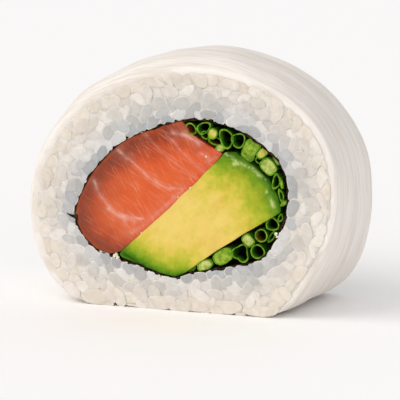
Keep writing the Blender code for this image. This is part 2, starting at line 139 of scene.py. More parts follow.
@dataclass
class Finish:
    """Principled material under construction, with the refraction of wet food unless told otherwise.

    `glow` is the share of light that soaks in, `glow_mm` how deep, and `glow_tint` how much further each
    of red, green and blue goes. `shine` is the specular level, `grain` how rough its patches are.
    """

    name: str
    roughness: float
    glow: float = 0.0
    glow_mm: float = 1.0
    glow_tint: Place = (1.0, 0.9, 0.8)
    shine: float = 0.5
    ior: float = 1.4
    grain: float = 0.58
    made: bpy.types.Material = field(init=False)
    tree: bpy.types.NodeTree = field(init=False)
    shader: bpy.types.Node = field(init=False)
    place: Socket = field(init=False)

    def __post_init__(self) -> None:
        """Make the material with its constants on the shader's own sockets."""
        self.made = bpy.data.materials.new(self.name)
        self.made.use_nodes = True
        self.tree = self.made.node_tree
        self.shader = self.tree.nodes["Principled BSDF"]
        constants = {
            "Roughness": self.roughness, "IOR": self.ior, "Specular IOR Level": self.shine,
            "Subsurface Weight": self.glow, "Subsurface Scale": self.glow_mm * MM,
            "Subsurface Radius": self.glow_tint,
        }
        for socket, value in constants.items():
            self.shader.inputs[socket].default_value = value
        self.place = self.add("TexCoord", {}, "Object")

    def add(self, kind: str, values: dict[str | int, object], output: str | int = 0) -> Socket:
        """Add a shader node with its settings and links.

        Args:
            kind: Node type without its "ShaderNode" prefix.
            values: Settings and links, by the name or number of the property or input: a socket is
                linked, and "stops" are a colour ramp's places and sRGB hex colours.
            output: Name or number of the output to give back.

        Returns:
            That output of the new node.
        """
        node = self.tree.nodes.new("ShaderNode" + kind)
        for key, value in values.items():
            if key == "stops":
                ramp = node.color_ramp
                while len(ramp.elements) < len(value):
                    ramp.elements.new(0.5)
                for element, (place, code) in zip(ramp.elements, value):
                    element.position, element.color = place, linear(code)
            elif isinstance(value, Socket):
                self.tree.links.new(value, node.inputs[key])
            elif isinstance(key, int) or key in node.inputs:
                node.inputs[key].default_value = value
            else:
                setattr(node, key, value)
        return node.outputs[output]

    def facts(self, name: str) -> tuple[Socket, Socket, Socket, Socket]:
        """Read four values from the mesh.

        Args:
            name: Name under which they are stored.

        Returns:
            A socket for each value.
        """
        stored = self.add("Attribute", {"attribute_name": name}, "Color")
        parts = self.add("SeparateColor", {"Color": stored}).node.outputs
        return parts[0], parts[1], parts[2], stored.node.outputs["Alpha"]

    def patches(
        self, size: float, detail: float = 3.0, where: Socket | None = None, warp: float = 0.0
    ) -> Socket:
        """Add soft patches.

        Args:
            size: Size of the patches in millimetres.
            detail: How many finer layers they have.
            where: Coordinates, or None for the object's own.
            warp: How far they are drawn out of shape.

        Returns:
            Their value, from 0 to 1.
        """
        return self.add("TexNoise", {
            "Vector": where or self.place, "Scale": 1.0 / (size * MM), "Detail": detail,
            "Roughness": self.grain, "Distortion": warp,
        }, "Fac")

    def stretched(self, degrees: float, along: float) -> Socket:
        """Add coordinates that draw a pattern out in the cut face.

        Args:
            degrees: Direction from which it is narrow, turned in the cut face.
            along: How many times longer it gets.

        Returns:
            The coordinates.
        """
        return self.add("Mapping", {
            "Vector": self.place, "vector_type": "TEXTURE", "Rotation": (0.0, math.radians(-degrees), 0.0),
            "Scale": (along, along, 1.0),
        })

    def dress(
        self, colour: Socket, height: Socket | None = None, strength: float = 0.0, distance: float = 0.1
    ) -> None:
        """Use a base colour, and a height as fine relief.

        Args:
            colour: Base colour.
            height: Height of the relief, or None for a plain surface.
            strength: How strongly the relief shows.
            distance: How high it is in millimetres.
        """
        self.tree.links.new(colour, self.shader.inputs["Base Color"])
        if height:
            bump = self.add("Bump", {"Height": height, "Strength": strength, "Distance": distance * MM})
            self.tree.links.new(bump, self.shader.inputs["Normal"])


@dataclass(frozen=True)
class Outline:
    """Closed smooth curve round the hub through a few measured points."""

    points: tuple[Point, ...]

    @cached_property
    def knots(self) -> tuple[np.ndarray, np.ndarray, np.ndarray]:
        """Turn the points into a table round the hub.

        Returns:
            Angles, radii and slopes, repeated past both ends of the turn.
        """
        polar = sorted((math.atan2(z - HUB_Z, x) % TAU, math.hypot(x, z - HUB_Z)) for x, z in self.points)
        angle, radius = (np.array(row) for row in zip(*polar))
        angle = np.concatenate([angle[-2:] - TAU, angle, angle[:3] + TAU])
        radius = np.concatenate([radius[-2:], radius, radius[:3]])
        slope = np.zeros_like(radius)
        slope[1:-1] = (radius[2:] - radius[:-2]) / (angle[2:] - angle[:-2])
        return angle, radius, slope

    def radius(self, turn: np.ndarray | float) -> np.ndarray:
        """Look up the curve.

        Args:
            turn: Angles in radians.

        Returns:
            Radii round the hub.
        """
        angle, radius, slope = self.knots
        turn = np.asarray(turn, float) % TAU
        i = np.clip(np.searchsorted(angle, turn, side="right") - 1, 1, len(angle) - 3)
        span = angle[i + 1] - angle[i]
        u = (turn - angle[i]) / span
        return (
            (2 * u**3 - 3 * u**2 + 1) * radius[i]
            + (u**3 - 2 * u**2 + u) * span * slope[i]
            + (3 * u**2 - 2 * u**3) * radius[i + 1]
            + (u**3 - u**2) * span * slope[i + 1]
        )


@dataclass(frozen=True)
class RollForm:
    """The roll's main form: outlines of both cut faces, of the nori, and the swell between them."""

    front: Outline = Outline((
        (30.0, 23.0), (28.9, 30.0), (25.9, 35.4), (20.8, 40.0), (12.7, 43.6), (3.5, 45.0), (-5.6, 43.8),
        (-13.5, 41.1), (-20.3, 37.2), (-25.6, 31.6), (-28.7, 25.6), (-30.0, 18.5), (-29.1, 11.0),
        (-26.5, 5.6), (-22.8, 1.9), (-18.5, 0.3), (-9.5, 0.1), (0.0, 0.1), (9.5, 0.1), (16.8, 0.3),
        (20.9, 2.2), (25.3, 8.1), (28.5, 14.0),
    ))
    back: Outline = Outline((
        (29.9, 20.5), (29.0, 27.5), (26.2, 33.4), (20.6, 39.6), (13.4, 43.9), (5.0, 46.3), (-5.0, 46.0),
        (-14.0, 42.9), (-21.2, 38.2), (-26.0, 32.2), (-28.9, 25.5), (-30.0, 18.0), (-29.3, 11.0),
        (-27.0, 5.5), (-23.4, 1.9), (-19.0, 0.3), (-9.5, 0.1), (0.0, 0.1), (9.5, 0.1), (18.5, 0.3),
        (23.6, 1.9), (27.3, 6.4), (29.2, 12.0),
    ))
    nori: Outline = Outline((
        (20.9, 21.3), (20.0, 27.6), (14.5, 32.6), (6.0, 35.7), (-4.5, 34.1), (-13.5, 29.3), (-18.8, 22.6),
        (-20.8, 16.2), (-17.0, 10.8), (-13.6, 9.7), (-11.4, 8.8), (-8.0, 8.1), (-1.4, 6.1), (2.4, 7.2),
        (6.8, 8.2), (11.2, 9.3), (14.4, 10.1), (16.9, 11.8), (19.0, 15.2),
    ))
    swell: float = 2.8
    swell_towards: float = math.radians(105.0)
    swell_least: float = 0.25
    swell_rise: float = 2.5
    swell_fall: float = 0.7
    right_end: float = math.radians(-46.0)
    left_end: float = math.radians(221.0)
    thin: float = 1.3
    thick: float = 1.9
    thick_towards: float = math.radians(190.0)
    end_thin: float = 0.35
    end_taper: float = math.radians(10.0)
    measured_at: float = 2.0

    def to_level(self, turn: np.ndarray, level: float) -> np.ndarray:
        """Radius at which rays from the hub come down to a level, very large where they don't fall."""
        falling = np.maximum(-np.sin(turn), 1e-6)
        return np.where(falling > 1e-6, (HUB_Z - level) / falling, 1e6)

    def outside(self, turn: np.ndarray, depth: np.ndarray | float) -> np.ndarray:
        """Radius of the wrap's outer face, which lies flat where it meets the floor.

        Args:
            turn: Angles in radians.
            depth: Depths behind the front cut face.

        Returns:
            Radii in millimetres.
        """
        depth = np.clip(depth, 0.0, LENGTH)
        along = depth / LENGTH
        lean = np.maximum(0.0, np.cos(turn - self.swell_towards))
        share = self.swell_least + (1 - self.swell_least) * lean
        proud = share * (1 - np.exp(-depth / self.swell_rise)) * (1 - along**2) ** self.swell_fall
        free = self.front.radius(turn) * (1 - along) + self.back.radius(turn) * along
        return np.minimum(free + self.swell * proud, self.to_level(turn, 0.0))

    def thickness(self, turn: np.ndarray) -> np.ndarray:
        """Thickness of the wrap, which thins out to its two long edges and is nothing past them.

        Args:
            turn: Angles in radians.

        Returns:
            Thicknesses in millimetres.
        """
        towards = np.maximum(0.0, np.cos(turn - self.thick_towards))
        full = self.thin + (self.thick - self.thin) * towards
        first = np.mod(turn - self.right_end + math.pi / 4, TAU) - math.pi / 4
        from_end = np.minimum(first, self.left_end - self.right_end - first)
        share = np.clip(from_end / self.end_taper, 0.0, 1.0)
        return np.where(from_end >= -1e-6, self.end_thin + (full - self.end_thin) * share, 0.0)

    def rice_outside(self, turn: np.ndarray, depth: np.ndarray | float, floor: float = 0.0) -> np.ndarray:
        """Radius of the rice's outer limit, with its underside at a level.

        Args:
            turn: Angles in radians.
            depth: Depths behind the front cut face.
            floor: Height of the bare underside.

        Returns:
            Radii in millimetres.
        """
        turn = np.asarray(turn, float)
        return np.minimum(self.outside(turn, depth) - self.thickness(turn), self.to_level(turn, floor))

    def clearance(self, places: np.ndarray, depth: float) -> np.ndarray:
        """How far places lie inside the rice ring.

        Args:
            places: Places (across, up) of a cut face.
            depth: Depth of that face.

        Returns:
            Distances in millimetres, negative outside the ring.
        """
        turn, radius = polar(places)
        outer = self.rice_outside(turn, depth) - radius
        return np.minimum(np.minimum(outer, radius - self.nori.radius(turn)), places[..., 1])

    def outward(self, places: np.ndarray) -> np.ndarray:
        """How far places lie on the way from the nori to the rice's outer limit.

        Args:
            places: Places (across, up).

        Returns:
            Shares, 0 at the nori and 1 at the limit.
        """
        turn, radius = polar(places)
        low, high = self.nori.radius(turn), self.rice_outside(turn, self.measured_at)
        return np.clip((radius - low) / (high - low), 0.0, 1.0)


FORM = RollForm()


@dataclass(frozen=True)
class Studio:
    """Pale floor, soft lights and the camera at the photograph's angle.

    Rows of `lights` are (name, where it stands, watts a square metre, width in degrees, sRGB hex colour).
    """

    azimuth: float = math.radians(20.0)
    elevation: float = math.radians(9.5)
    distance: float = 0.400
    focal_pixels: float = 2188.64
    picture_pixels: int = 400
    sensor: float = 36.0
    look_at: Place = (4.142, 0.0, 21.075)
    floor_half: float = 3.0
    room: str = "fdfdff"
    room_strength: float = 0.66
    lights: tuple[tuple[str, Place, float, float, str], ...] = (
        ("key", (-0.62, -0.50, 0.85), 1.15, 50.0, "fffaf3"),
        ("fill", (0.30, -0.95, 0.35), 0.45, 70.0, "fdfdff"),
    )

    def camera(self) -> None:
        """Place the camera where it looks at the front cut face as in the photograph."""
        target = (Vector(self.look_at) + Vector((HUB_X, FRONT_Y, 0.0))) * MM
        level = math.cos(self.elevation)
        aside, back = math.sin(self.azimuth) * level, -math.cos(self.azimuth) * level
        away = Vector((aside, back, math.sin(self.elevation)))
        lens = bpy.data.cameras.new("camera")
        lens.sensor_width = self.sensor
        lens.lens = self.focal_pixels / self.picture_pixels * self.sensor
        lens.clip_start = 0.01
        made = bpy.data.objects.new("camera", lens)
        made.location = target + away * self.distance
        made.rotation_euler = (-away).to_track_quat("-Z", "Y").to_euler()
        bpy.context.scene.collection.objects.link(made)
        bpy.context.scene.camera = made

    def floor(self) -> None:
        """Lay a floor of matt white paper, which gives an even ground with a soft shadow."""
        mesh = bmesh.new()
        bmesh.ops.create_grid(mesh, x_segments=1, y_segments=1, size=self.floor_half)
        data = bpy.data.meshes.new("floor")
        mesh.to_mesh(data)
        mesh.free()
        made = bpy.data.objects.new("floor", data)
        sweep = Finish("matt white sweep", 0.9)
        sweep.shader.inputs["Base Color"].default_value = linear("ffffff")
        data.materials.append(sweep.made)
        bpy.context.scene.collection.objects.link(made)

    def softlight(self, name: str, towards: Place, strength: float, spread: float, tint: str) -> None:
        """Add a broad distant light.

        Args:
            name: Name of the light.
            towards: Direction in which it stands.
            strength: Strength in watts a square metre.
            spread: How wide it looks, in degrees.
            tint: sRGB hex colour.
        """
        lamp = bpy.data.lights.new(name, "SUN")
        lamp.energy, lamp.angle, lamp.color = strength, math.radians(spread), linear(tint)[:3]
        made = bpy.data.objects.new(name, lamp)
        made.rotation_euler = Vector(towards).to_track_quat("Z", "Y").to_euler()
        bpy.context.scene.collection.objects.link(made)

    def build(self) -> None:
        """Make the camera and floor, a bright surround, and the soft lights."""
        self.camera()
        self.floor()
        world = bpy.data.worlds.new("white room")
        world.use_nodes = True
        backdrop = world.node_tree.nodes["Background"]
        backdrop.inputs["Color"].default_value = linear(self.room)
        backdrop.inputs["Strength"].default_value = self.room_strength
        bpy.context.scene.world = world
        for name, towards, strength, spread, tint in self.lights:
            self.softlight(name, towards, strength, spread, tint)
        bpy.context.scene.view_settings.view_transform = "Standard"


def finish_piece(
    name: str, mesh: bmesh.types.BMesh, materials: Sequence[bpy.types.Material], node: str,
    sharp: float = 180.0, recalc: bool = True,
) -> None:
    """Turn a bmesh into a piece that rides on the roll and replaces a node.

    Args:
        name: Name of the piece.
        mesh: Its finished bmesh, which is freed.
        materials: Finishes by face material number.
        node: Node of the frame that the piece stands for.
        sharp: Angle in degrees above which an edge stays sharp.
        recalc: True to turn all faces outward; False where they already face so.
    """
    if recalc:
        bmesh.ops.recalc_face_normals(mesh, faces=mesh.faces)
    data = bpy.data.meshes.new(name)
    mesh.to_mesh(data)
    mesh.free()
    for finish in materials:
        data.materials.append(finish)
    data.shade_smooth()
    if sharp < 180.0:
        data.set_sharp_from_angle(angle=math.radians(sharp))
    made = bpy.data.objects.new(name, data)
    bpy.context.scene.collection.objects.link(made)
    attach(made, "root")
    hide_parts(node)
    LOG.info("%s: %d faces", name, len(data.polygons))


def closed_band(
    columns: int, rows: int, place: Callable[[np.ndarray, np.ndarray], np.ndarray], joined: bool
) -> bmesh.types.BMesh:
    """Mesh a body as a grid bent round its section, with the last row on the first.

    Args:
        columns: Grid steps along the body.
        rows: Grid steps round its section.
        place: Gives rows of (across, depth, up) at shares along the body and round its section.
        joined: True where the body's two ends meet; else each end is filled.

    Returns:
        Closed bmesh.
    """
    mesh = bmesh.new()
    bmesh.ops.create_grid(mesh, x_segments=columns, y_segments=rows, size=0.5)
    flat = np.round(spots_of(mesh.verts) + 0.5, 6)
    put(mesh.verts, place(flat[:, 0], flat[:, 1] % 1.0))
    bmesh.ops.remove_doubles(mesh, verts=mesh.verts, dist=1e-7)
    if not joined:
        bmesh.ops.holes_fill(mesh, edges=[edge for edge in mesh.edges if edge.is_boundary], sides=0)
    return mesh


def walk(step: np.ndarray, stops: Sequence[tuple[float, float, float]]) -> tuple[np.ndarray, np.ndarray]:
    """Follow a section's corners.

    Args:
        step: How far along, in the units of the stops.
        stops: Rows of (how far along, first value, second value).

    Returns:
        Both values at each step.
    """
    table = np.array(stops)
    return np.interp(step, table[:, 0], table[:, 1]), np.interp(step, table[:, 0], table[:, 2])


@dataclass(frozen=True)
class WrapFinish:
    """Thin pale wrapping sheet, rolled on damp: satin, faintly translucent, fine fibres round the roll.

    Rows of `fibres` are (width, length, degrees, detail), in millimetres.
    """

    base: str = "f5eee6"
    shade: str = "dfd4c8"
    fibres: tuple[tuple[float, float, float, float], ...] = ((0.45, 9.0, 3.0, 3.0), (2.6, 26.0, -6.0, 4.0))

    def material(self) -> bpy.types.Material:
        """Make the finish, whose fibres follow the sheet round the roll.

        Returns:
            The material.
        """
        sheet = Finish("damp wrapping sheet", 0.45, 0.3, 1.2)
        chart = sheet.add("UVMap", {"uv_map": "sheet"})
        streaks = []
        for width, length, degrees, detail in self.fibres:
            lie = sheet.add("Mapping", {
                "Vector": chart, "vector_type": "TEXTURE", "Rotation": (0.0, 0.0, math.radians(degrees)),
                "Scale": (length, width, 1.0),
            })
            streaks.append(sheet.add(
                "TexNoise", {"Vector": lie, "Scale": 1.0, "Detail": detail, "Roughness": 0.6}, "Fac"
            ))
        both = sheet.add("Math", {"operation": "MULTIPLY", 0: streaks[0], 1: streaks[1]})
        tone = sheet.add("ValToRGB", {"Fac": both, "stops": ((0.13, self.shade), (0.30, self.base))})
        sheet.dress(tone, both, 0.55, 0.5)
        return sheet.made


@dataclass
class WrapSheet:
    """Thin sheet round the sides and the top, with a soft cut edge at both faces."""

    columns: int = 300
    outer_rows: int = 46
    inner_rows: int = 10
    edge_rows: int = 7
    edge_round: float = 0.55
    edge_in: float = 0.12
    edge_uneven: float = 0.10
    inner_in: float = 0.12
    crowding: float = 0.11
    ripple: float = 0.28
    crease: float = 0.07
    calm_edge: float = 2.0
    overlap: float = 1.06
    chart_radius: float = 25.0

    def places(self, along: np.ndarray, round_section: np.ndarray) -> np.ndarray:
        """Points of the sheet.

        Args:
            along: Shares of the way from the right end over the top to the left end.
            round_section: Shares of the way round the section, from the front edge over the outer face.

        Returns:
            Rows of (across, depth, up).
        """
        outer, edge, inner = self.outer_rows, self.edge_rows, self.inner_rows
        rows = outer + 2 * edge + inner
        share, inward = walk(round_section * rows, (
            (0, 0, 0), (outer, 1, 0), (outer + edge, 1, 1), (outer + edge + inner, 0, 1), (rows, 0, 0),
        ))
        turn = FORM.right_end + (FORM.left_end - FORM.right_end) * along
        depth = LENGTH * (share - self.crowding * np.sin(TAU * share))
        from_face = np.clip(np.minimum(depth, LENGTH - depth), 0.0, None)
        radius = FORM.outside(turn, depth)
        here = np.stack([radius * np.cos(turn), depth * 0.8, radius * np.sin(turn)], axis=1)
        lines = np.stack([turn * 2.5, depth * 1.0, 0 * turn], axis=1)
        fade = np.minimum(1.0, from_face / self.calm_edge) * (1 - inward)
        waves = self.ripple * (rough(here, 6.5, 3.0) - 0.55) + self.crease * (rough(lines, 1.1, 8.0) - 0.4)
        corner = np.maximum(0.0, 1.0 - from_face / self.edge_round)
        turned_in = self.edge_round * (1 - np.sqrt(1 - corner**2)) * (1 - inward)
        radius = radius + waves * fade - turned_in - FORM.thickness(turn) * inward * self.overlap
        ring = np.stack([turn * 12.0, inward * 1.5, share * 9], axis=1)
        uneven = self.edge_uneven * (1 + rough(ring, 1.0, 5.0))
        recess = self.edge_in + uneven + self.inner_in * inward**2
        places = round_hub(turn, radius, depth + np.where(share < 0.5, recess, -recess))
        places[:, 2] = np.maximum(0.0, places[:, 2])
        return places

    def build(self) -> None:
        """Mesh and dress the sheet."""
        rows = self.outer_rows + 2 * self.edge_rows + self.inner_rows
        mesh = closed_band(self.columns, rows, self.places, False)
        chart = mesh.loops.layers.uv.new("sheet")
        for face in mesh.faces:
            for loop in face.loops:
                x, y, z = loop.vert.co / MM
                turn = (math.atan2(z - HUB_Z, x - HUB_X) + math.pi / 2) % TAU
                loop[chart].uv = (turn * self.chart_radius, y)
        finish_piece("wrap_sheet", mesh, [WrapFinish().material()], "outer_wrap", 60.0)


@dataclass(frozen=True)
class RiceFinish:
    """Cooked short-grain rice: moist, translucent, bluish by the dark nori, partly painted shade, and creamy
    towards the wrap.

    `unlike` is how far neighbouring grains differ, as a share of the way from nori to wrap.
    """

    # Grey-blue by the nori: partly the grains' own translucency, partly painted shade from the dark nori
    # beside them.
    shaded_by_nori: str = "abb0b5"
    inner: str = "c6c7c7"
    middle: str = "dfd9d2"
    by_wrap: str = "ede3d6"
    # Pale colour of the painted rim highlight, and of the randomly paler grains.
    rim: str = "faf7f3"
    dull: str = "dcd0bd"
    cloud: str = "f2efec"
    clear: str = "ffffff"
    deep_low: str = "e6dbc8"
    deep_high: str = "f2eadf"
    unlike: float = 0.26

    def grains(self) -> bpy.types.Material:
        """Make the grains' finish, which gives each its own tone and a painted highlight on its rim near the
        nori.

        Returns:
            The material.
        """
        rice = Finish("cooked short-grain rice", 0.4, 0.15, 0.3, (1.0, 0.94, 0.88), 0.35)
        tone, outward, ring, _ = rice.facts("grain")
        place = rice.add("Math", {"operation": "MULTIPLY_ADD", 0: tone, 1: self.unlike, 2: outward})
        # Colour from nori to wrap; its grey-blue near the nori is partly painted shade of the dark nori.
        body = rice.add("ValToRGB", {"Fac": place, "stops": (
            (0.14, self.shaded_by_nori), (0.36, self.inner), (0.62, self.middle), (0.9, self.by_wrap),
        )})
        # Painted highlight on the grains' rims, strongest by the nori and fading towards the wrap.
        edge = rice.add("MapRange", {0: ring, 1: 0.78, 2: 0.95, 3: 0.0, 4: 0.9})
        rim_highlight_reach = rice.add("MapRange", {0: outward, 1: 0.1, 2: 0.8, 3: 1.0, 4: 0.25})
        rim_highlight = rice.add("Math", {"operation": "MULTIPLY", 0: edge, 1: rim_highlight_reach})
        duller = rice.add("MapRange", {0: tone, 1: 0.0, 2: 0.5, 3: 0.3, 4: 0.0})
        paler = rice.add("MapRange", {0: tone, 1: 0.6, 2: 1.0, 3: 0.0, 4: 0.45})
        for share, colour in ((rim_highlight, self.rim), (duller, self.dull), (paler, self.rim)):
            body = rice.add("Mix", {"data_type": "RGBA", 0: share, 6: body, 7: linear(colour)}, 2)
        cloudy = rice.add("ValToRGB", {
            "Fac": rice.patches(1.1), "stops": ((0.3, self.cloud), (0.7, self.clear)),
        })
        body = rice.add(
            "Mix", {"data_type": "RGBA", "blend_type": "MULTIPLY", 0: 1.0, 6: body, 7: cloudy}, 2
        )
        rice.dress(body, rice.patches(0.7), 0.2, 0.1)
        return rice.made

    def core(self) -> bpy.types.Material:
        """Make the finish of rice deep in the gaps, beige from the light that soaks through.

        Returns:
            The material.
        """
        deep = Finish("deep rice", 0.5, 0.5, 1.4, (1.0, 0.9, 0.75), 0.3)
        stops = ((0.3, self.deep_low), (0.7, self.deep_high))
        deep.dress(deep.add("ValToRGB", {"Fac": deep.patches(3.0), "stops": stops}))
        return deep.made


@dataclass
class GrainBed:
    """Uneven ovals spread over a flat region and overlapping a little, as cooked grains lie.

    The region tells how far places lie inside it, and no grain leaves it by more than `reach`. Rows of
    `fixed` are (across, up, half length, half width, turn) and rows of `holes`, ground that stays
    bare, are (across, up, half width). Rows of `waves` are (times round the rim, share of its radius).
    """

    region: Callable[[np.ndarray], np.ndarray]
    low: Point
    high: Point
    count: int
    half_long: float
    half_wide: float
    seed: int
    fixed: tuple[tuple[float, float, float, float, float], ...] = ()
    holes: tuple[Place, ...] = ()
    align: Callable[[np.ndarray], tuple[np.ndarray, np.ndarray]] | None = None
    reach: float = 0.12
    sides: int = 14
    rounds: int = 6
    ground_pitch: float = 0.5
    tries: int = 24
    from_edge: float = 0.6
    sizes: Point = (0.82, 1.16)
    slims: Point = (0.88, 1.2)
    hole_form: float = 0.75
    waves: tuple[tuple[int, float], ...] = ((2, 0.05), (3, 0.06), (4, 0.03))
    least_radius: float = 0.45
    centres: np.ndarray = field(init=False)
    halves: np.ndarray = field(init=False)
    turns: np.ndarray = field(init=False)
    rims: np.ndarray = field(init=False)

    def __post_init__(self) -> None:
        """Settle the grains and give each its rim."""
        self.settle()
        self.grow()

    def scatter(self, draw: np.random.Generator) -> np.ndarray:
        """Draw places in the region, each the loneliest of a few tries.

        Args:
            draw: Generator of the random draws.

        Returns:
            Rows of (across, up), the fixed grains and the holes first.
        """
        kept = [np.array(row[:2]) for row in self.fixed + self.holes]
        while len(kept) < self.count:
            tries = draw.uniform(self.low, self.high, size=(self.tries, 2))
            tries = tries[self.region(tries) > self.half_wide * self.from_edge]
            if len(tries) and kept:
                near = np.linalg.norm(tries[:, None] - np.array(kept)[None], axis=2).min(axis=1)
                kept.append(tries[near.argmax()])
            elif len(tries):
                kept.append(tries[0])
        return np.array(kept)

    def measure(self, places: np.ndarray) -> np.ndarray:
        """Measure from places to grains in each grain's own size.

        Args:
            places: Rows of (across, up).

        Returns:
            Distances, a row for each place and a column for each grain.
        """
        step = places[:, None, :] - self.centres[None, :, :]
        cos, sin = np.cos(self.turns), np.sin(self.turns)
        along = (step[..., 0] * cos + step[..., 1] * sin) / self.halves[:, 0]
        aside = (-step[..., 0] * sin + step[..., 1] * cos) / self.halves[:, 1]
        return np.hypot(along, aside)

    def settle(self) -> None:
        """Spread the grains evenly: each moves to the middle of the ground that it holds."""
        draw = np.random.default_rng(self.seed)
        self.centres = self.scatter(draw)
        total = len(self.centres)
        size = draw.uniform(*self.sizes, total)
        slim = draw.uniform(*self.slims, total)
        self.halves = np.stack([self.half_long * size * slim, self.half_wide * size / slim**0.5], axis=1)
        self.turns = draw.uniform(0, math.pi, total)
        if self.align:
            lie, loose = self.align(self.centres)
            self.turns = lie + draw.normal(0.0, 1.0, total) * loose
        for i, (_, _, along, aside, turn) in enumerate(self.fixed):
            self.halves[i], self.turns[i] = (along, aside), turn
        for i, (_, _, size_here) in enumerate(self.holes):
            self.halves[len(self.fixed) + i] = size_here, size_here * self.hole_form
        xs = np.arange(self.low[0], self.high[0], self.ground_pitch)
        zs = np.arange(self.low[1], self.high[1], self.ground_pitch)
        ground = np.stack(np.meshgrid(xs, zs), axis=-1).reshape(-1, 2)
        ground = ground[self.region(ground) > 0]
        pinned = len(self.fixed) + len(self.holes)
        for _ in range(self.rounds):
            owner = self.measure(ground).argmin(axis=1)
            held = np.bincount(owner, minlength=total)
            free = (held > 0) & (np.arange(total) >= pinned)
            for axis in (0, 1):
                middle = np.bincount(owner, ground[:, axis], minlength=total) / np.maximum(held, 1)
                self.centres[free, axis] = middle[free]

    def grow(self) -> None:
        """Find the uneven rim of each grain, drawn in where it would leave the region."""
        draw = np.random.default_rng(self.seed + 1)
        angles = np.arange(self.sides) / self.sides * TAU
        form = 1.0
        for times, size in self.waves:
            form = form + size * np.cos(times * angles + draw.uniform(0, TAU, (len(self.centres), 1)))
        along = self.halves[:, :1] * form * np.cos(angles)
        aside = self.halves[:, 1:] * form * np.sin(angles)
        cos, sin = np.cos(self.turns)[:, None], np.sin(self.turns)[:, None]
        ways = np.stack([along * cos - aside * sin, along * sin + aside * cos], axis=2)
        steps = np.linspace(0.1, 1.0, 19)
        flat = self.centres[:, None, None] + ways[:, :, None] * steps[:, None]
        out = self.region(flat) < -self.reach
        first = np.where(out.any(axis=2), out.argmax(axis=2), len(steps))
        self.rims = ways * steps[np.maximum(first - 1, 0)][..., None]

    @cached_property
    def shown(self) -> np.ndarray:
        """Pick the grains that are not holes and have room.

        Returns:
            Their numbers.
        """
        number = np.arange(len(self.centres)) - len(self.fixed)
        hole = (number >= 0) & (number < len(self.holes))
        room = np.linalg.norm(self.rims, axis=2).mean(axis=1) > self.least_radius
        return np.flatnonzero(room & ~hole)


Layer = Callable[[np.ndarray, np.ndarray], np.ndarray]


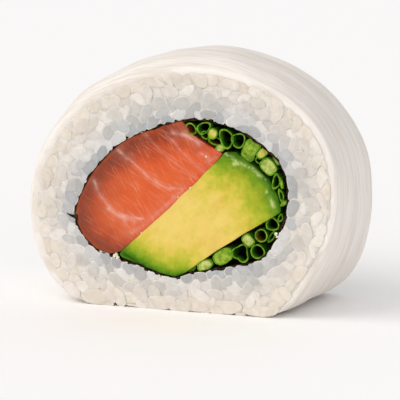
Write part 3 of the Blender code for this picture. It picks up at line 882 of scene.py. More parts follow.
@dataclass
class RiceRing:
    """Rice between nori and wrap: a bumpy core, a bed of cut grains at each face and whole ones below."""

    profile: tuple[Point, ...] = (
        (0.0, 0.0), (0.6, 0.02), (0.92, 0.07), (1.0, 0.16), (0.95, 0.5), (0.0, 0.9),
    )
    grain_slope: float = 0.03
    grain_top: Point = (0.05, 0.17)
    face_count: int = 285
    face_halves: Point = (1.8, 1.2)
    face_low: Point = (-30.0, 0.0)
    face_high: Point = (30.0, 46.0)
    under_count: int = 96
    under_halves: Point = (3.3, 1.35)
    under_sides: Point = (-21.0, 18.6)
    under_in: float = 0.25
    under_clip: float = 0.7
    core_columns: int = 260
    core_face_rows: int = 20
    core_side_rows: int = 12
    core_recess: float = 0.24
    core_low: float = 0.35
    core_high: float = 0.12
    core_floor: float = 0.5
    bump_size: float = 2.6
    bump_high: float = 0.15
    bump_outer: float = 0.1
    finish: RiceFinish = RiceFinish()
    bottom_row: tuple[tuple[float, float, float, float, float], ...] = (
        (-16.3, 1.5, 3.6, 1.5, 0.0), (-9.4, 1.5, 3.1, 1.35, 0.0), (-3.6, 1.35, 3.2, 1.3, 0.06),
        (3.0, 1.4, 3.2, 1.3, -0.05), (9.3, 1.4, 3.1, 1.35, 0.05), (15.6, 1.2, 3.3, 1.15, 0.0),
    )
    front_holes: tuple[Place, ...] = (
        (-17.7, 36.3, 0.9), (0.9, 42.4, 0.7), (24.3, 9.6, 1.0), (18.9, 3.1, 1.5), (8.8, 4.2, 0.8),
        (-18.6, 6.6, 0.9), (26.6, 23.4, 0.8), (-24.5, 10.5, 0.9), (20.5, 34.0, 0.8),
    )
    grain_finish: bpy.types.Material = field(init=False)

    def fill(
        self, name: str, bed: GrainBed, lay: Layer, outward: np.ndarray, plump: np.ndarray, mirrored: bool
    ) -> None:
        """Shape all grains of a bed from one ball and dress them.

        Args:
            name: Name of the piece.
            bed: Bed that the grains lie in.
            lay: Gives rows of (across, depth, up) for places in the bed and depths below its surface.
            outward: How far each grain lies towards the wrap.
            plump: How strongly each is domed.
            mirrored: True where `lay` mirrors the ball, so that its faces have to be turned round.
        """
        rows = len(self.profile) - 1
        pattern = bmesh.new()
        bmesh.ops.create_uvsphere(pattern, u_segments=bed.sides, v_segments=rows, radius=1.0)
        ball = spots_of(pattern.verts)
        one = bpy.data.meshes.new("grain")
        pattern.to_mesh(one)
        pattern.free()
        mesh = bmesh.new()
        for _ in bed.shown:
            mesh.from_mesh(one)
        bpy.data.meshes.remove(one)
        level = np.rint(np.arccos(np.clip(ball[:, 2], -1, 1)) / math.pi * rows).astype(int)
        side = np.rint(np.arctan2(ball[:, 1], ball[:, 0]) % TAU / TAU * bed.sides).astype(int) % bed.sides
        ring, drop = np.array(self.profile)[level].T
        draw = np.random.default_rng(bed.seed + 2)
        steps = bed.rims[bed.shown][:, side] * ring[:, None]
        slope = draw.normal(0.0, self.grain_slope, (len(bed.shown), 1, 2))
        top = draw.uniform(*self.grain_top, (len(bed.shown), 1))
        fall = plump[bed.shown, None] * drop
        depth = np.maximum(0.03 + 0.5 * fall, top + fall + (steps * slope).sum(axis=2))
        put(mesh.verts, lay((bed.centres[bed.shown][:, None] + steps).reshape(-1, 2), depth.ravel()))
        facts = mesh.verts.layers.float_color.new("grain")
        each = np.stack([draw.random(len(bed.shown)), outward[bed.shown]], axis=1).repeat(len(ball), axis=0)
        rings = np.tile(ring, len(bed.shown))
        for vert, (tone, far), at in zip(mesh.verts, each.tolist(), rings.tolist()):
            vert[facts] = (tone, far, at, 1.0)
        if mirrored:
            bmesh.ops.reverse_faces(mesh, faces=mesh.faces)
        finish_piece(name, mesh, [self.grain_finish], "rice", recalc=False)

    def cut_face(self, name: str, front: bool, seed: int) -> None:
        """Bed of grains that shows in a cut face.

        Args:
            name: Name of the piece.
            front: True for the face towards the photograph's camera.
            seed: Seed of its random draws.
        """
        middle = 0.5 if front else LENGTH - 0.5

        def region(places: np.ndarray) -> np.ndarray:
            """How far places lie inside the rice ring, in the middle of the grains."""
            return FORM.clearance(places, middle)

        def lie(places: np.ndarray) -> tuple[np.ndarray, np.ndarray]:
            """Direction of grains round the ring, and how loosely they keep to it away from its edges."""
            turn = polar(places)[0]
            return turn + math.pi / 2, 0.25 + 0.9 * np.minimum(region(places), 4.5) / 4.5

        def lay(places: np.ndarray, depth: np.ndarray) -> np.ndarray:
            """Rows of (across, depth, up) for places and depths below the cut face."""
            back = depth if front else LENGTH - depth
            return np.stack([places[:, 0], back, np.maximum(places[:, 1], 0.0)], axis=1)

        bed = GrainBed(
            region, self.face_low, self.face_high, self.face_count, *self.face_halves, seed,
            self.bottom_row if front else (), self.front_holes if front else (), lie,
        )
        outward = FORM.outward(bed.centres)
        self.fill(name, bed, lay, outward, 1.5 - 1.2 * smoothstep(0.1, 0.6, outward), not front)

    def underside(self) -> None:
        """Whole grains that lie on the bare underside."""
        (left, right), half = self.under_sides, LENGTH / 2 - self.under_in

        def region(places: np.ndarray) -> np.ndarray:
            """How far places (across, along) lie inside the underside."""
            side = np.minimum(places[..., 0] - left, right - places[..., 0])
            return np.minimum(side, half - np.abs(places[..., 1]))

        def lay(places: np.ndarray, depth: np.ndarray) -> np.ndarray:
            """Find where points of the grains lie.

            Args:
                places: Rows of (across, along).
                depth: Heights above the underside.

            Returns:
                Rows of (across, depth, up).
            """
            turn = np.arctan2(-HUB_Z, places[:, 0])
            back = np.clip(places[:, 1] - FRONT_Y, self.under_clip, LENGTH - self.under_clip)
            rise = np.maximum(0.0, HUB_Z + FORM.rice_outside(turn, back) * np.sin(turn)) * 0.9
            return np.stack([places[:, 0], back, depth + rise], axis=1)

        bed = GrainBed(region, (left, -half), (right, half), self.under_count, *self.under_halves, 23)
        count = len(bed.centres)
        self.fill("rice_underside", bed, lay, np.full(count, 0.8), np.full(count, 4.0), True)

    def core_places(self, along: np.ndarray, round_section: np.ndarray) -> np.ndarray:
        """Points of the core, whose faces are bumpy where they show between the grains.

        Args:
            along: Shares of the way round the ring.
            round_section: Shares of the way round its section, from the nori over the front face.

        Returns:
            Rows of (across, depth, up).
        """
        turn = along * TAU
        near, back = self.core_recess, LENGTH - self.core_recess
        face, side = self.core_face_rows, self.core_side_rows
        rows = 2 * (face + side)
        depth, share = walk(round_section * rows, (
            (0, near, 0), (face, near, 1), (face + side, back, 1), (rows - side, back, 0), (rows, near, 0),
        ))
        low = FORM.nori.radius(turn) + self.core_low
        high = FORM.rice_outside(turn, depth, self.core_floor) - self.core_high
        spots = round_hub(turn, low + (high - low) * share, depth * 0.5)
        cells = np.array([noise.voronoi(row)[0][0] for row in (spots / self.bump_size).tolist()])
        outward = smoothstep(0.3, 0.8, FORM.outward(spots[:, ::2]))
        bump = self.bump_high * (0.4 - cells) + self.bump_outer * outward
        depth = depth + np.where(depth <= near, -bump, np.where(depth >= back, bump, 0.0))
        return np.stack([spots[:, 0], depth, spots[:, 2]], axis=1)

    def build(self) -> None:
        """Mesh and dress the core and its grains."""
        self.grain_finish = self.finish.grains()
        rows = 2 * (self.core_face_rows + self.core_side_rows)
        mesh = closed_band(self.core_columns, rows, self.core_places, True)
        finish_piece("rice_core", mesh, [self.finish.core()], "rice")
        self.cut_face("rice_front_grains", True, 5)
        self.cut_face("rice_back_grains", False, 6)
        self.underside()


@dataclass(frozen=True)
class NoriFinish:
    """Toasted seaweed gone soft in the roll: near black, brown where light passes, slightly crinkled."""

    low: str = "0e0b07"
    high: str = "4a3a26"

    def material(self) -> bpy.types.Material:
        """Make the finish, with a fine crinkle.

        Returns:
            The material.
        """
        sheet = Finish("damp nori sheet", 0.7, shine=0.08)
        crinkle = sheet.patches(0.6, 4.0)
        tone = sheet.add("ValToRGB", {"Fac": crinkle, "stops": ((0.40, self.low), (0.72, self.high))})
        sheet.dress(tone, crinkle, 0.6, 0.15)
        return sheet.made


@dataclass
class NoriSheet:
    """Seaweed sheet between the rice and the fillings, crinkled along its cut edge, and its lapped end."""

    columns: int = 460
    inner: float = 0.18
    outer: float = 0.27
    edge_in: float = 0.06
    edge_uneven: float = 0.16
    lap_columns: int = 12
    long_rows: int = 10
    edge_rows: int = 2
    lap: tuple[Place, ...] = (
        (-20.3, 16.3, 1.2), (-20.9, 16.5, 0.6), (-21.7, 16.7, 0.42), (-22.4, 17.1, 0.2),
    )

    def section(self, round_section: np.ndarray, inner: float) -> tuple[np.ndarray, np.ndarray]:
        """Follow the section from the front over the outer side.

        Args:
            round_section: Shares of the way round it.
            inner: Value of the inner side, where the outer side has 1.

        Returns:
            Shares of the way to the back, and the side's values.
        """
        long, edge = self.long_rows, self.edge_rows
        rows = 2 * (long + edge)
        return walk(round_section * rows, (
            (0, 0, 1), (long, 1, 1), (long + edge, 1, inner), (rows - edge, 0, inner), (rows, 0, 1),
        ))

    def places(self, along: np.ndarray, round_section: np.ndarray) -> np.ndarray:
        """Points of the sheet.

        Args:
            along: Shares of the way round the fillings.
            round_section: Shares of the way round the section.

        Returns:
            Rows of (across, depth, up).
        """
        turn = along * TAU
        share, outward = self.section(round_section, 0.0)
        ring = np.stack([np.cos(turn) * 21.0, share * 4.0, np.sin(turn) * 21.0], axis=1)
        wander = 0.28 * rough(ring, 2.2, 2.0) + 0.08 * rough(ring, 0.9, 6.0)
        inner = self.inner * (1 + 0.9 * rough(ring, 1.4, 11.0))
        outer = self.outer * (1 + 0.5 * rough(ring, 1.6, 14.0))
        radius = FORM.nori.radius(turn) + wander - inner + (inner + outer) * outward
        edge = self.edge_in + self.edge_uneven * (1 + rough(ring, 1.0, 4.0))
        return round_hub(turn, radius, edge + share * (LENGTH - 2 * edge))

    def lap_places(self, along: np.ndarray, round_section: np.ndarray) -> np.ndarray:
        """Points of the end that laps out into the rice on the left.

        Args:
            along: Shares of the way out.
            round_section: Shares of the way round the section.

        Returns:
            Rows of (across, depth, up).
        """
        share, aside = self.section(round_section, -1.0)
        table = np.array(self.lap)
        stops = np.linspace(0, 1, len(table))
        across, up, half = (np.interp(along, stops, table[:, axis]) for axis in range(3))
        crinkle = 0.08 * rough(np.stack([across, share * 8, up], axis=1), 0.7, 3.0)
        depth = self.edge_in + share * (LENGTH - 2 * self.edge_in)
        return np.stack([across, depth, up + aside * half / 2 + crinkle], axis=1)

    def build(self) -> None:
        """Mesh and dress the sheet and its lap."""
        finish = NoriFinish().material()
        rows = 2 * (self.long_rows + self.edge_rows)
        mesh = closed_band(self.columns, rows, self.places, True)
        finish_piece("nori_band", mesh, [finish], "nori", 60.0)
        lap = closed_band(self.lap_columns, rows, self.lap_places, False)
        finish_piece("nori_lap", lap, [finish], "nori", 60.0)


def densify(points: Sequence[Point], pitch: float, closed: bool = False) -> np.ndarray:
    """Points at an even pitch along a line through given points.

    Args:
        points: Corners of the line.
        pitch: Longest step.
        closed: True to run back to the first point.

    Returns:
        Rows of (across, up).
    """
    ends = list(points[1:]) + ([points[0]] if closed else [])
    rows = []
    for (x0, z0), (x1, z1) in zip(points, ends):
        count = max(1, math.ceil(math.dist((x0, z0), (x1, z1)) / pitch))
        rows += [(x0 + (x1 - x0) * i / count, z0 + (z1 - z0) * i / count) for i in range(count)]
    return np.array(rows if closed else rows + [points[-1]])


def distance_to(points: Sequence[Point], places: np.ndarray) -> np.ndarray:
    """Measure from places to a line.

    Args:
        points: Corners of the line.
        places: Rows of (across, up).

    Returns:
        Shortest distance from each place.
    """
    line = densify(points, 0.2)
    return np.linalg.norm(places[:, None] - line[None], axis=2).min(axis=1)


@dataclass
class Baton:
    """Filling that runs through the roll, as a closed body with finely meshed cut faces."""

    outline: tuple[Point, ...]
    middle: Point
    face: float = 0.12
    edge: float = 0.07
    directions: int = 300
    face_rows: int = 72
    side_rows: int = 8
    pitch: float = 0.12

    def body(self, relief: Callable[[np.ndarray], np.ndarray]) -> tuple[bmesh.types.BMesh, np.ndarray]:
        """Shape a ball into the baton.

        Args:
            relief: Depth below a cut face's plane at places in it.

        Returns:
            Closed bmesh, and the places (across, up) of its points.
        """
        dense = densify(self.outline, self.pitch, True) - np.array(self.middle)
        angle = np.arctan2(dense[:, 1], dense[:, 0]) % TAU
        order = np.argsort(angle)
        turns = np.arange(self.directions) / self.directions * TAU
        reach = np.interp(turns, angle[order], np.hypot(*dense.T)[order], period=TAU)
        rows = 2 * self.face_rows + self.side_rows
        mesh = bmesh.new()
        bmesh.ops.create_uvsphere(mesh, u_segments=self.directions, v_segments=rows, radius=1.0)
        spots = spots_of(mesh.verts)
        turn = np.arctan2(spots[:, 1], spots[:, 0]) % TAU
        k = np.rint(turn / TAU * self.directions).astype(int) % self.directions
        step = np.rint(np.arccos(np.clip(spots[:, 2], -1, 1)) / math.pi * rows)
        radius = reach[k] * np.minimum(1.0, np.minimum(step, rows - step) / self.face_rows)
        ways = np.stack([np.cos(turns[k]), np.sin(turns[k])], axis=1)
        flat = radius[:, None] * ways + np.array(self.middle)
        corner = np.clip(1 - (reach[k] - radius) / self.edge, 0.0, 1.0)
        skin = self.face + self.edge * (1 - np.sqrt(1 - corner**2)) + relief(flat)
        side = np.clip((step - self.face_rows) / self.side_rows, 0.0, 1.0)
        depth = skin + (LENGTH - 2 * skin) * side
        put(mesh.verts, np.stack([flat[:, 0], depth, flat[:, 1]], axis=1))
        return mesh, flat

    def paint(self, mesh: bmesh.types.BMesh, values: np.ndarray) -> None:
        """Store what the finish reads.

        Args:
            mesh: Mesh that gets the values.
            values: A row of four values for each of its points.
        """
        layer = mesh.verts.layers.float_color.new("flesh")
        for vert, row in zip(mesh.verts, values.tolist()):
            vert[layer] = row


@dataclass(frozen=True)
class SalmonFinish:
    """Raw salmon: moist orange muscle with fine pale fibres, white fat, brown flesh on the skin side."""

    muscle: str = "d85a2c"
    bright: str = "e06836"
    # Dark colour of the painted shade at the salmon's edges.
    edge: str = "8c3216"
    skin_side: str = "824433"
    rim: str = "c0581c"
    fibre: str = "f0a688"
    fat: str = "efbfae"

    def material(self) -> bpy.types.Material:
        """Make the finish, which reads fat lines, the brown skin side and painted edge shade from the mesh.

        Returns:
            The material.
        """
        flesh = Finish("raw salmon", 0.34, 0.2, 0.7, (1.0, 0.35, 0.2), 0.2)
        fat, skin, rim, heart = flesh.facts("flesh")
        # Low heart values turn to the dark edge colour: painted shade by the nori and along the cut by the
        # avocado.
        level = flesh.add("Math", {"operation": "MULTIPLY_ADD", 0: flesh.patches(2.6), 1: 0.5, 2: heart})
        body = flesh.add("ValToRGB", {
            "Fac": level, "stops": ((0.22, self.edge), (0.72, self.muscle), (1.0, self.bright)),
        })
        steep = flesh.patches(0.20, 3.0, flesh.stretched(-60.0, 18.0), 0.3)
        flat = flesh.patches(0.24, 3.0, flesh.stretched(-30.0, 15.0), 0.4)
        lines = flesh.add("Math", {"operation": "MAXIMUM", 0: steep, 1: flat})
        lined = flesh.add("MapRange", {0: lines, 1: 0.57, 2: 0.80, 3: 0.0, 4: 0.68})
        broken = flesh.add("MapRange", {0: flesh.patches(0.5), 1: 0.3, 2: 0.7, 3: 0.6, 4: 1.3})
        streak = flesh.add("Math", {"operation": "MULTIPLY", 0: fat, 1: broken})
        coats = ((lined, self.fibre), (skin, self.skin_side), (rim, self.rim), (streak, self.fat))
        for share, colour in coats:
            body = flesh.add("Mix", {"data_type": "RGBA", 0: share, 6: body, 7: linear(colour)}, 2)
        flesh.dress(body, lines, 0.3, 0.15)
        return flesh.made


FatLine = tuple[tuple[Point, ...], float, float]


@dataclass
class Salmon:
    """Salmon baton against the nori, its straight side against the avocado.

    Each fat line has its points, its width and how strongly it shows.
    """

    fat_lines: tuple[FatLine, ...] = (
        ((
            (-12.2, 29.4), (-11.2, 28.6), (-9.0, 27.2), (-6.2, 24.8), (-4.6, 23.6), (-2.2, 22.9), (0.6, 22.8),
        ), 0.16, 0.55),
        (((-5.0, 24.4), (-3.4, 23.2), (-1.8, 22.6)), 0.13, 0.6),
        (((-12.0, 29.5), (-11.2, 28.8), (-10.4, 28.0)), 0.30, 0.6),
        ((
            (-17.0, 23.6), (-16.2, 21.6), (-14.6, 19.3), (-12.6, 17.8), (-10.0, 17.0), (-7.1, 16.8),
        ), 0.17, 0.6),
        (((-14.2, 18.3), (-12.6, 17.5), (-11.0, 16.8), (-9.0, 16.4)), 0.34, 0.6),
        (((-2.5, 33.0), (0.3, 29.9), (3.2, 27.4), (5.3, 25.9)), 0.16, 0.4),
        (((-6.6, 32.6), (-3.4, 29.4), (-0.2, 27.2), (3.0, 25.3)), 0.14, 0.3),
        (((-1.5, 33.2), (1.2, 32.8), (3.8, 31.6)), 0.30, 0.6),
        (((4.3, 29.6), (5.2, 29.2), (5.8, 28.4), (6.9, 28.9)), 0.25, 0.5),
        (((-9.4, 14.0), (-6.4, 16.2), (-3.9, 18.4), (0.5, 22.6)), 0.45, 0.3),
    )
    cut_side: tuple[Point, ...] = ((-11.8, 10.35), (-3.65, 17.5), (3.35, 24.3), (7.4, 28.5))
    end: tuple[Point, ...] = (
        (8.3, 29.8), (7.2, 30.4), (5.6, 31.1), (4.4, 31.8), (3.0, 32.7), (1.9, 33.4), (1.5, 34.4),
    )
    arc_degrees: Point = (88.0, 219.0)
    arc_points: int = 40
    in_nori: float = 0.13
    middle: Point = (-7.0, 23.0)

    def outline(self) -> tuple[Point, ...]:
        """Draw the section.

        Returns:
            The nori's arc round the left, then the straight cut and the end under the chives.
        """
        turns = np.radians(np.linspace(*self.arc_degrees, self.arc_points))
        radii = FORM.nori.radius(turns) - self.in_nori
        arc = zip((radii * np.cos(turns)).tolist(), (HUB_Z + radii * np.sin(turns)).tolist())
        return tuple(arc) + self.cut_side + self.end

    def fat(self, places: np.ndarray) -> np.ndarray:
        """Look up the fat in the cut face.

        Args:
            places: Rows of (across, up).

        Returns:
            A share of fat for each.
        """
        spots = np.insert(places, 1, 0.0, axis=1)
        thick, broken = 1 + 0.5 * rough(spots, 2.0, 4.0), 0.8 + 0.6 * rough(spots, 1.2, 9.0)
        most = np.zeros(len(places))
        for line, width, strength in self.fat_lines:
            near = distance_to(line, places) / (width * thick)
            sharp, soft = np.exp(-near * near), np.exp(-near * near / 16)
            most = np.maximum(most, strength * broken * (0.72 * sharp + 0.28 * soft))
        return np.clip(most, 0.0, 1.0)

    def relief(self, places: np.ndarray) -> np.ndarray:
        """Depth of the cut face below its plane."""
        spots = np.insert(places, 1, 2.0, axis=1)
        return 0.2 + 0.1 * rough(spots, 4.0, 1.0) + 0.08 * self.fat(places) + 0.04 * rough(spots, 0.8, 3.0)

    def tones(self, places: np.ndarray) -> np.ndarray:
        """Find what the finish reads.

        Args:
            places: Rows of (across, up).

        Returns:
            Rows of (fat, brown skin side, rim by the nori, bright heart that falls into painted shade at
            edges).
        """
        turn, radius = polar(places)
        inset = np.maximum(0.0, FORM.nori.radius(turn) - radius)
        blotch = rough(np.insert(places, 1, 0.0, axis=1), 2.2, 6.0)
        left = np.maximum(0.0, np.cos(turn - math.radians(197.0))) ** 0.8
        skin = 0.85 * np.exp(-((inset / (0.7 + 5.0 * left)) ** 2)) * (0.85 + 0.35 * blotch)
        skin *= 0.25 + 0.75 * smoothstep(0.1, 0.75, left)
        rim = 0.5 * np.exp(-(((inset - 0.3) / 0.5) ** 2)) * np.clip(0.6 + 0.9 * blotch, 0, 1)
        from_cut = distance_to(self.cut_side, places)
        above = smoothstep(21.0, 30.0, places[:, 1])
        # Painted shade: the heart falls off near the nori, more widely at the top, and along the cut by the
        # avocado.
        heart = 1 - np.exp(-((inset / (3.2 + 2.6 * above)) ** 2)) - 0.2 * np.exp(-((from_cut / 1.5) ** 2))
        return np.stack([self.fat(places), np.clip(skin, 0, 1), rim, np.clip(heart, 0, 1) * 0.62], axis=1)

    def build(self) -> None:
        """Mesh and dress the salmon."""
        baton = Baton(self.outline(), self.middle)
        mesh, places = baton.body(self.relief)
        baton.paint(mesh, self.tones(places))
        finish_piece("salmon_baton", mesh, [SalmonFinish().material()], "salmon", 60.0)


@dataclass(frozen=True)
class AvocadoFinish:
    """Ripe avocado: buttery yellow, through yellow-green to dark green under the peeled skin."""

    stops: tuple[tuple[float, str], ...] = (
        (0.06, "ecd070"), (0.24, "dcc853"), (0.42, "b6ba34"), (0.62, "7ea01e"), (0.80, "4e820c"),
        (1.0, "2a5806"),
    )
    warm: str = "e6c060"
    torn: str = "ccd88a"

    def material(self) -> bpy.types.Material:
        """Make the finish, which reads the greenness and the torn flesh from the mesh.

        Returns:
            The material.
        """
        flesh = Finish("ripe avocado", 0.42, 0.12, 0.7, (1.0, 0.9, 0.3), 0.13)
        green, torn, _, _ = flesh.facts("flesh")
        shift = flesh.add("MapRange", {0: flesh.patches(1.6, 5.0), 1: 0.25, 2: 0.75, 3: -0.12, 4: 0.12})
        level = flesh.add("Math", {"operation": "ADD", 0: green, 1: shift})
        body = flesh.add("ValToRGB", {"Fac": level, "stops": self.stops})
        bands = flesh.patches(3.5, 3.0, flesh.stretched(38.0, 2.2))
        warm = flesh.add("MapRange", {0: bands, 1: 0.45, 2: 0.75, 3: 0.0, 4: 0.35})
        for share, colour, way in ((warm, self.warm, "MULTIPLY"), (torn, self.torn, "MIX")):
            body = flesh.add(
                "Mix", {"data_type": "RGBA", "blend_type": way, 0: share, 6: body, 7: linear(colour)}, 2
            )
        flesh.dress(body, flesh.patches(0.8, 4.0), 0.22, 0.15)
        return flesh.made


@dataclass
class Avocado:
    """Slanting avocado baton, green where the skin was peeled off at its two ends."""

    outline: tuple[Point, ...] = (
        (7.6, 28.6), (8.7, 30.0), (10.9, 30.2), (12.7, 28.9), (15.0, 27.3), (17.3, 25.4), (18.8, 22.7),
        (19.5, 20.6), (19.35, 19.5), (11.9, 14.85), (6.3, 11.1), (0.9, 7.1), (-1.0, 6.35), (-3.8, 6.85),
        (-6.7, 7.8), (-11.3, 9.25), (-12.1, 9.95), (-3.75, 17.65), (3.25, 24.45),
    )
    middle: Point = (2.5, 18.5)
    upper_skin: tuple[Point, ...] = (
        (8.6, 30.6), (11.1, 30.0), (14.3, 28.3), (17.1, 25.4), (18.7, 22.8), (19.7, 19.6),
    )
    lower_skin: tuple[Point, ...] = ((-12.0, 10.4), (-6.6, 7.9), (-3.7, 6.7), (-1.0, 6.2), (0.4, 6.8))
    torn_lines: tuple[tuple[Point, ...], ...] = (
        ((9.1, 29.8), (10.2, 29.1), (11.2, 28.4), (11.8, 27.6)),
        ((10.6, 28.0), (12.2, 28.1), (13.5, 27.6), (14.7, 26.8), (15.8, 25.9), (16.8, 25.0)),
        ((16.9, 23.2), (17.6, 22.0), (18.2, 20.6)),
    )

    def green(self, places: np.ndarray) -> np.ndarray:
        """Look up how green the flesh is.

        Args:
            places: Rows of (across, up).

        Returns:
            Values from 0, the yellow heart, to 1, right under the skin.
        """
        upper = distance_to(self.upper_skin, places)
        lower = distance_to(self.lower_skin, places)
        from_upper = 0.78 * np.exp(-((upper / 6.9) ** 1.3)) + 0.22 * np.exp(-upper / 0.5)
        from_lower = 0.72 * np.exp(-((lower / 4.2) ** 1.3)) + 0.28 * np.exp(-lower / 0.7)
        return np.maximum(from_upper, from_lower)

    def torn(self, places: np.ndarray) -> np.ndarray:
        """Look up the pale torn flesh along the peeled side.

        Args:
            places: Rows of (across, up).

        Returns:
            A share of it for each.
        """
        near = np.min([distance_to(line, places) for line in self.torn_lines], axis=0)
        spots = np.insert(places, 1, 0.0, axis=1)
        rag = np.maximum(0.0, rough(spots, 0.9, 5.0) + 0.3) + np.maximum(0.0, rough(spots, 0.45, 7.0))
        return np.clip(1.5 * rag * np.exp(-((near / 0.3) ** 2)), 0.0, 0.8)

    def relief(self, places: np.ndarray) -> np.ndarray:
        """Depth of the cut face below its plane."""
        return 0.22 + 0.07 * rough(np.insert(places, 1, 3.0, axis=1), 1.6, 2.0) - 0.18 * self.torn(places)

    def build(self) -> None:
        """Mesh and dress the avocado."""
        baton = Baton(self.outline, self.middle)
        mesh, places = baton.body(self.relief)
        unused = np.zeros(len(places))
        baton.paint(mesh, np.stack([self.green(places), self.torn(places), unused, unused + 1], axis=1))
        finish_piece("avocado_baton", mesh, [AvocadoFinish().material()], "avocado", 60.0)


class StemKind(Enum):
    """What a piece of chive shows at its cut: a hollow or the flesh of a stalk."""

    TUBE = 2
    OLIVE_TUBE = 3
    STALK = 4
    GREEN_STALK = 5
    YELLOW_STALK = 6


@dataclass(frozen=True)
class Stem:
    """One chive or stalk: its place, half sizes, tilt in degrees and kind, and how its end is cut.

    `front` is how deep its front end lies, `slant` how much deeper it is cut for each millimetre to the
    right, `square` is 0 for an oval section and 1 for a boxy one, and `pinch` presses it out of round.
    """

    across: float
    up: float
    half_width: float
    half_height: float
    tilt: float
    kind: StemKind
    front: float = 0.3
    slant: float = 0.0
    square: float = 0.0
    pinch: float = 0.0


@dataclass(frozen=True)
class ChiveFinish:
    """Fresh chives and green onion: waxy green skin, wet pale flesh at the cut, dark hollow with painted
    shade.

    Painted shade darkens the hollows with depth: they are at their darkest, and at their own colour, at the
    depths `fade` behind a cut face. Rows of `finishes` are (name, darker, lighter, patch size, colour of
    the painted shade deep inside or None).
    """

    fade: Point = (3.3, 0.4)
    finishes: tuple[tuple[str, str, str, float, str | None], ...] = (
        ("chive skin", "234c08", "4c8214", 1.2, None),
        ("chive cut rim", "3a700c", "84b02a", 0.7, None),
        # The last colours of the hollows are their painted shade deep inside.
        ("chive hollow", "42820f", "6cac2a", 0.9, "0c2404"),
        ("olive hollow", "847018", "b0a034", 0.9, "44440c"),
        ("pale stalk flesh", "8ca434", "d2d684", 0.7, None),
        ("green stalk flesh", "5c8a14", "a8c044", 0.8, None),
        ("yellow stalk flesh", "b4ac2e", "dcd47c", 0.9, None),
    )

    def plain(self, name: str, low: str, high: str, size: float, deep: str | None) -> bpy.types.Material:
        """Material of two tones in soft patches, with painted shade deep inside if it has a deep colour.

        Args:
            name: Name of the finish.
            low: Darker sRGB colour.
            high: Lighter sRGB colour.
            size: Patch size in millimetres.
            deep: Colour of the painted shade that it turns to behind the cut faces, or None.

        Returns:
            The material.
        """
        stem = Finish(name, 0.4, 0.1, 0.4, (0.6, 1.0, 0.3), 0.12)
        patch = stem.patches(size)
        tone = stem.add("ValToRGB", {"Fac": patch, "stops": ((0.34, low), (0.68, high))})
        # Painted shade: hollows darken to the deep colour with depth behind each cut face.
        if deep:
            along = stem.add("SeparateXYZ", {"Vector": stem.place}, "Y")
            away = stem.add("Math", {"operation": "ABSOLUTE", 0: along})
            far, near = (LENGTH / 2 - depth for depth in self.fade)
            share = stem.add("MapRange", {0: away, 1: far * MM, 2: near * MM, 3: 1.0, 4: 0.0})
            tone = stem.add("Mix", {"data_type": "RGBA", 0: share, 6: tone, 7: linear(deep)}, 2)
        stem.dress(tone, patch, 0.3, 0.1)
        return stem.made

    def materials(self) -> list[bpy.types.Material]:
        """Finishes in the order of StemKind's numbers, after the skin and the rim."""
        return [self.plain(*row) for row in self.finishes]


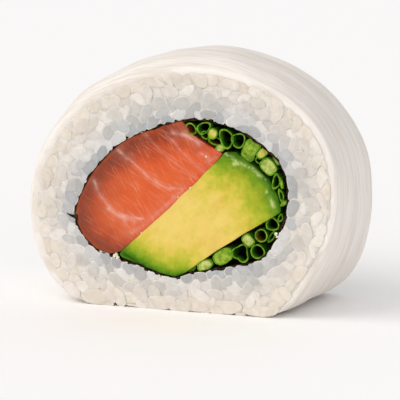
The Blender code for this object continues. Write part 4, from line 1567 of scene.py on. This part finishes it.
@dataclass
class Chives:
    """Two bundles of chives: one over the avocado and one under it."""

    upper: tuple[Stem, ...] = (
        Stem(2.2, 34.05, 1.25, 1.0, -35.0, StemKind.OLIVE_TUBE, 0.35, pinch=0.2),
        Stem(4.75, 34.35, 1.6, 1.0, 32.0, StemKind.TUBE, 0.25, pinch=0.3),
        Stem(4.9, 33.0, 0.9, 0.75, -40.0, StemKind.OLIVE_TUBE, 0.6),
        Stem(6.5, 33.4, 0.95, 1.05, 0.0, StemKind.YELLOW_STALK, 0.15),
        Stem(6.9, 31.95, 1.5, 0.8, -12.0, StemKind.OLIVE_TUBE, 0.7),
        Stem(9.1, 32.6, 1.35, 1.8, 18.0, StemKind.TUBE, 0.2, pinch=0.35),
        Stem(11.4, 32.35, 1.4, 1.35, -20.0, StemKind.TUBE, 0.25, pinch=-0.35),
        Stem(7.85, 30.75, 0.95, 0.75, 20.0, StemKind.STALK, 0.5),
        Stem(13.9, 31.2, 1.4, 1.7, -35.0, StemKind.GREEN_STALK, 0.2, 0.35, 0.7),
        Stem(13.1, 29.8, 1.25, 1.45, 15.0, StemKind.GREEN_STALK, 0.8, 0.2),
        Stem(15.9, 30.2, 1.2, 0.85, 42.0, StemKind.YELLOW_STALK, 0.5, 0.2, 0.3),
        Stem(15.2, 28.8, 0.9, 0.7, -10.0, StemKind.TUBE, 1.2),
        Stem(17.2, 27.85, 1.65, 1.25, -48.0, StemKind.STALK, 0.2, 0.15, 0.85),
        Stem(18.5, 28.9, 0.95, 0.5, -48.0, StemKind.STALK, 0.9, 0.0, 0.3),
        Stem(18.6, 25.2, 0.8, 1.5, -12.0, StemKind.TUBE, 0.35, pinch=0.3),
        Stem(19.6, 25.0, 0.35, 1.1, 12.0, StemKind.GREEN_STALK, 0.3, 0.1),
        Stem(19.5, 22.6, 0.5, 1.3, 14.0, StemKind.TUBE, 0.6, pinch=0.3),
        Stem(20.1, 21.3, 0.4, 0.7, -50.0, StemKind.GREEN_STALK, 0.3, 0.2),
    )
    lower: tuple[Stem, ...] = (
        Stem(17.9, 17.3, 1.35, 1.2, -25.0, StemKind.TUBE, 0.5, pinch=0.25),
        Stem(19.35, 18.5, 0.5, 0.85, -20.0, StemKind.TUBE, 0.7, pinch=0.3),
        Stem(15.85, 15.15, 1.25, 1.25, -10.0, StemKind.OLIVE_TUBE, 0.2),
        Stem(17.65, 14.9, 0.5, 1.25, -30.0, StemKind.TUBE, 1.0, pinch=0.3),
        Stem(13.4, 14.1, 1.25, 1.0, -52.0, StemKind.STALK, 0.15, 0.1, 0.85),
        Stem(15.2, 12.15, 1.4, 1.35, 0.0, StemKind.TUBE, 0.15, pinch=0.1),
        Stem(11.9, 11.6, 1.75, 1.5, 62.0, StemKind.TUBE, 0.35, pinch=0.75),
        Stem(8.55, 10.8, 2.05, 1.35, 34.0, StemKind.GREEN_STALK, 0.25, 0.15, 0.35),
        Stem(5.0, 8.9, 1.55, 0.95, 27.0, StemKind.STALK, 0.35, 0.2, 0.45),
        Stem(2.1, 7.9, 0.9, 0.45, 25.0, StemKind.GREEN_STALK, 1.2),
    )
    sides: int = 24
    wall: float = 0.22
    hollow: float = 5.0
    in_nori: float = 0.2

    def add_stem(self, mesh: bmesh.types.BMesh, stem: Stem) -> None:
        """Shape one stem from a cylinder, hollowed at both ends if it is a tube.

        Args:
            mesh: Mesh that gets the stem.
            stem: The stem.
        """
        tube = stem.kind in (StemKind.TUBE, StemKind.OLIVE_TUBE)
        made = bmesh.ops.create_cone(
            mesh, cap_ends=True, segments=self.sides, radius1=1.0, radius2=1.0, depth=1.0
        )
        verts = set(made["verts"])
        caps = [face for face in {f for v in verts for f in v.link_faces} if len(face.verts) == self.sides]
        wall = min(0.5, self.wall / min(stem.half_width, stem.half_height))
        for cap in caps:
            end = 1.0 if cap.calc_center_median().z > 0 else -1.0
            rim = bmesh.ops.inset_region(mesh, faces=[cap], thickness=wall)["faces"]
            for face in rim:
                face.material_index = 1
                verts.update(face.verts)
            cap.material_index = stem.kind.value
            if tube:
                grown = bmesh.ops.extrude_face_region(mesh, geom=[cap])["geom"]
                deep = [item for item in grown if isinstance(item, bmesh.types.BMVert)]
                bmesh.ops.delete(mesh, geom=[cap], context="FACES_ONLY")
                bmesh.ops.translate(mesh, vec=(0, 0, -end * self.hollow / LENGTH), verts=deep)
                for face in {f for v in deep for f in v.link_faces}:
                    face.material_index = stem.kind.value
                verts.update(deep)
        self.shape(verts, stem)

    def shape(self, verts: set[bmesh.types.BMVert], stem: Stem) -> None:
        """Bend a unit cylinder's points into a stem's section and place.

        Args:
            verts: Points of the cylinder.
            stem: The stem.
        """
        order = list(verts)
        spots = spots_of(order)
        angle, ring = np.arctan2(spots[:, 1], spots[:, 0]), np.hypot(spots[:, 0], spots[:, 1])
        boxy = (np.cos(angle) ** 4 + np.sin(angle) ** 4) ** -0.25
        form = 1 + stem.square * (boxy - 1) * 0.9
        form *= 1 + 0.25 * stem.pinch * np.cos(3 * angle) - 0.12 * abs(stem.pinch) * np.cos(2 * angle)
        seeds = np.stack([np.cos(angle) * 1.2, np.sin(angle) * 1.2, 0 * angle + stem.across], axis=1)
        form *= 1 + 0.07 * rough(seeds, 0.7, stem.up)
        wide = ring * form * stem.half_width * np.cos(angle)
        high = ring * form * stem.half_height * np.sin(angle)
        turn = math.radians(stem.tilt)
        across = stem.across + wide * math.cos(turn) - high * math.sin(turn)
        up = stem.up + wide * math.sin(turn) + high * math.cos(turn)
        start = stem.front + stem.slant * np.clip(across - stem.across, -1.2, 1.2) + 0.08 * rough(seeds, 0.6)
        start = np.maximum(0.05, start)
        depth = start + (0.5 - spots[:, 2]) * (LENGTH - 2 * start)
        turn_at, radius = polar(np.stack([across, up], axis=1))
        held = np.minimum(1.0, (FORM.nori.radius(turn_at) - self.in_nori) / radius)
        put(order, np.stack([across * held, depth, HUB_Z + (up - HUB_Z) * held], axis=1))

    def bundle(self, name: str, node: str, stems: tuple[Stem, ...]) -> None:
        """Mesh and dress one bundle.

        Args:
            name: Name of the piece.
            node: Node of the frame that it stands for.
            stems: Its chives and stalks.
        """
        mesh = bmesh.new()
        for stem in stems:
            self.add_stem(mesh, stem)
        finish_piece(name, mesh, ChiveFinish().materials(), node, 50.0)

    def build(self) -> None:
        """Mesh and dress both bundles."""
        self.bundle("chives_over_avocado", "chives_upper", self.upper)
        self.bundle("chives_under_avocado", "chives_lower", self.lower)


@dataclass(frozen=True)
class CrumbFinish:
    """Crushed cooked rice: moist and pale, yellowed a little by the fillings that it clings to."""

    low: str = "e3dcb0"
    high: str = "f4efd8"

    def material(self) -> bpy.types.Material:
        """Make the finish, of two pale tones in soft patches.

        Returns:
            The material.
        """
        crumb = Finish("rice crumb", 0.45, 0.3, 0.6)
        stops = ((0.3, self.low), (0.7, self.high))
        crumb.dress(crumb.add("ValToRGB", {"Fac": crumb.patches(0.4), "stops": stops}))
        return crumb.made


@dataclass
class Crumbs:
    """Stray bits of rice on the cut face; rows are (across, up, radius)."""

    bits: tuple[Place, ...] = (
        (-12.9, 9.5, 0.42), (-12.3, 9.2, 0.36), (-12.5, 9.8, 0.30), (18.7, 15.6, 0.34), (18.9, 15.1, 0.26),
        (-7.5, 14.2, 0.16), (2.2, 23.2, 0.17), (-0.2, 21.3, 0.12), (5.3, 29.1, 0.2),
    )
    flat: float = 0.7

    def build(self) -> None:
        """Mesh and dress the crumbs."""
        mesh = bmesh.new()
        for across, up, radius in self.bits:
            ball = bmesh.ops.create_icosphere(mesh, subdivisions=2, radius=1.0)["verts"]
            spots = spots_of(ball)
            spots *= radius * (1 + 0.5 * rough(spots, 0.8, across))[:, None]
            depth = np.maximum(0.04, 0.05 + self.flat * (radius + spots[:, 1]))
            put(ball, np.stack([across + spots[:, 0], depth, up + spots[:, 2]], axis=1))
        finish_piece("rice_crumbs", mesh, [CrumbFinish().material()], "rice")


def main() -> None:
    """Build the studio and every piece of the roll, in order."""
    logging.basicConfig(level=logging.INFO, format="%(message)s")
    Studio().build()
    WrapSheet().build()
    RiceRing().build()
    NoriSheet().build()
    Salmon().build()
    Avocado().build()
    Chives().build()
    Crumbs().build()


if __name__ == "__main__":
    main()
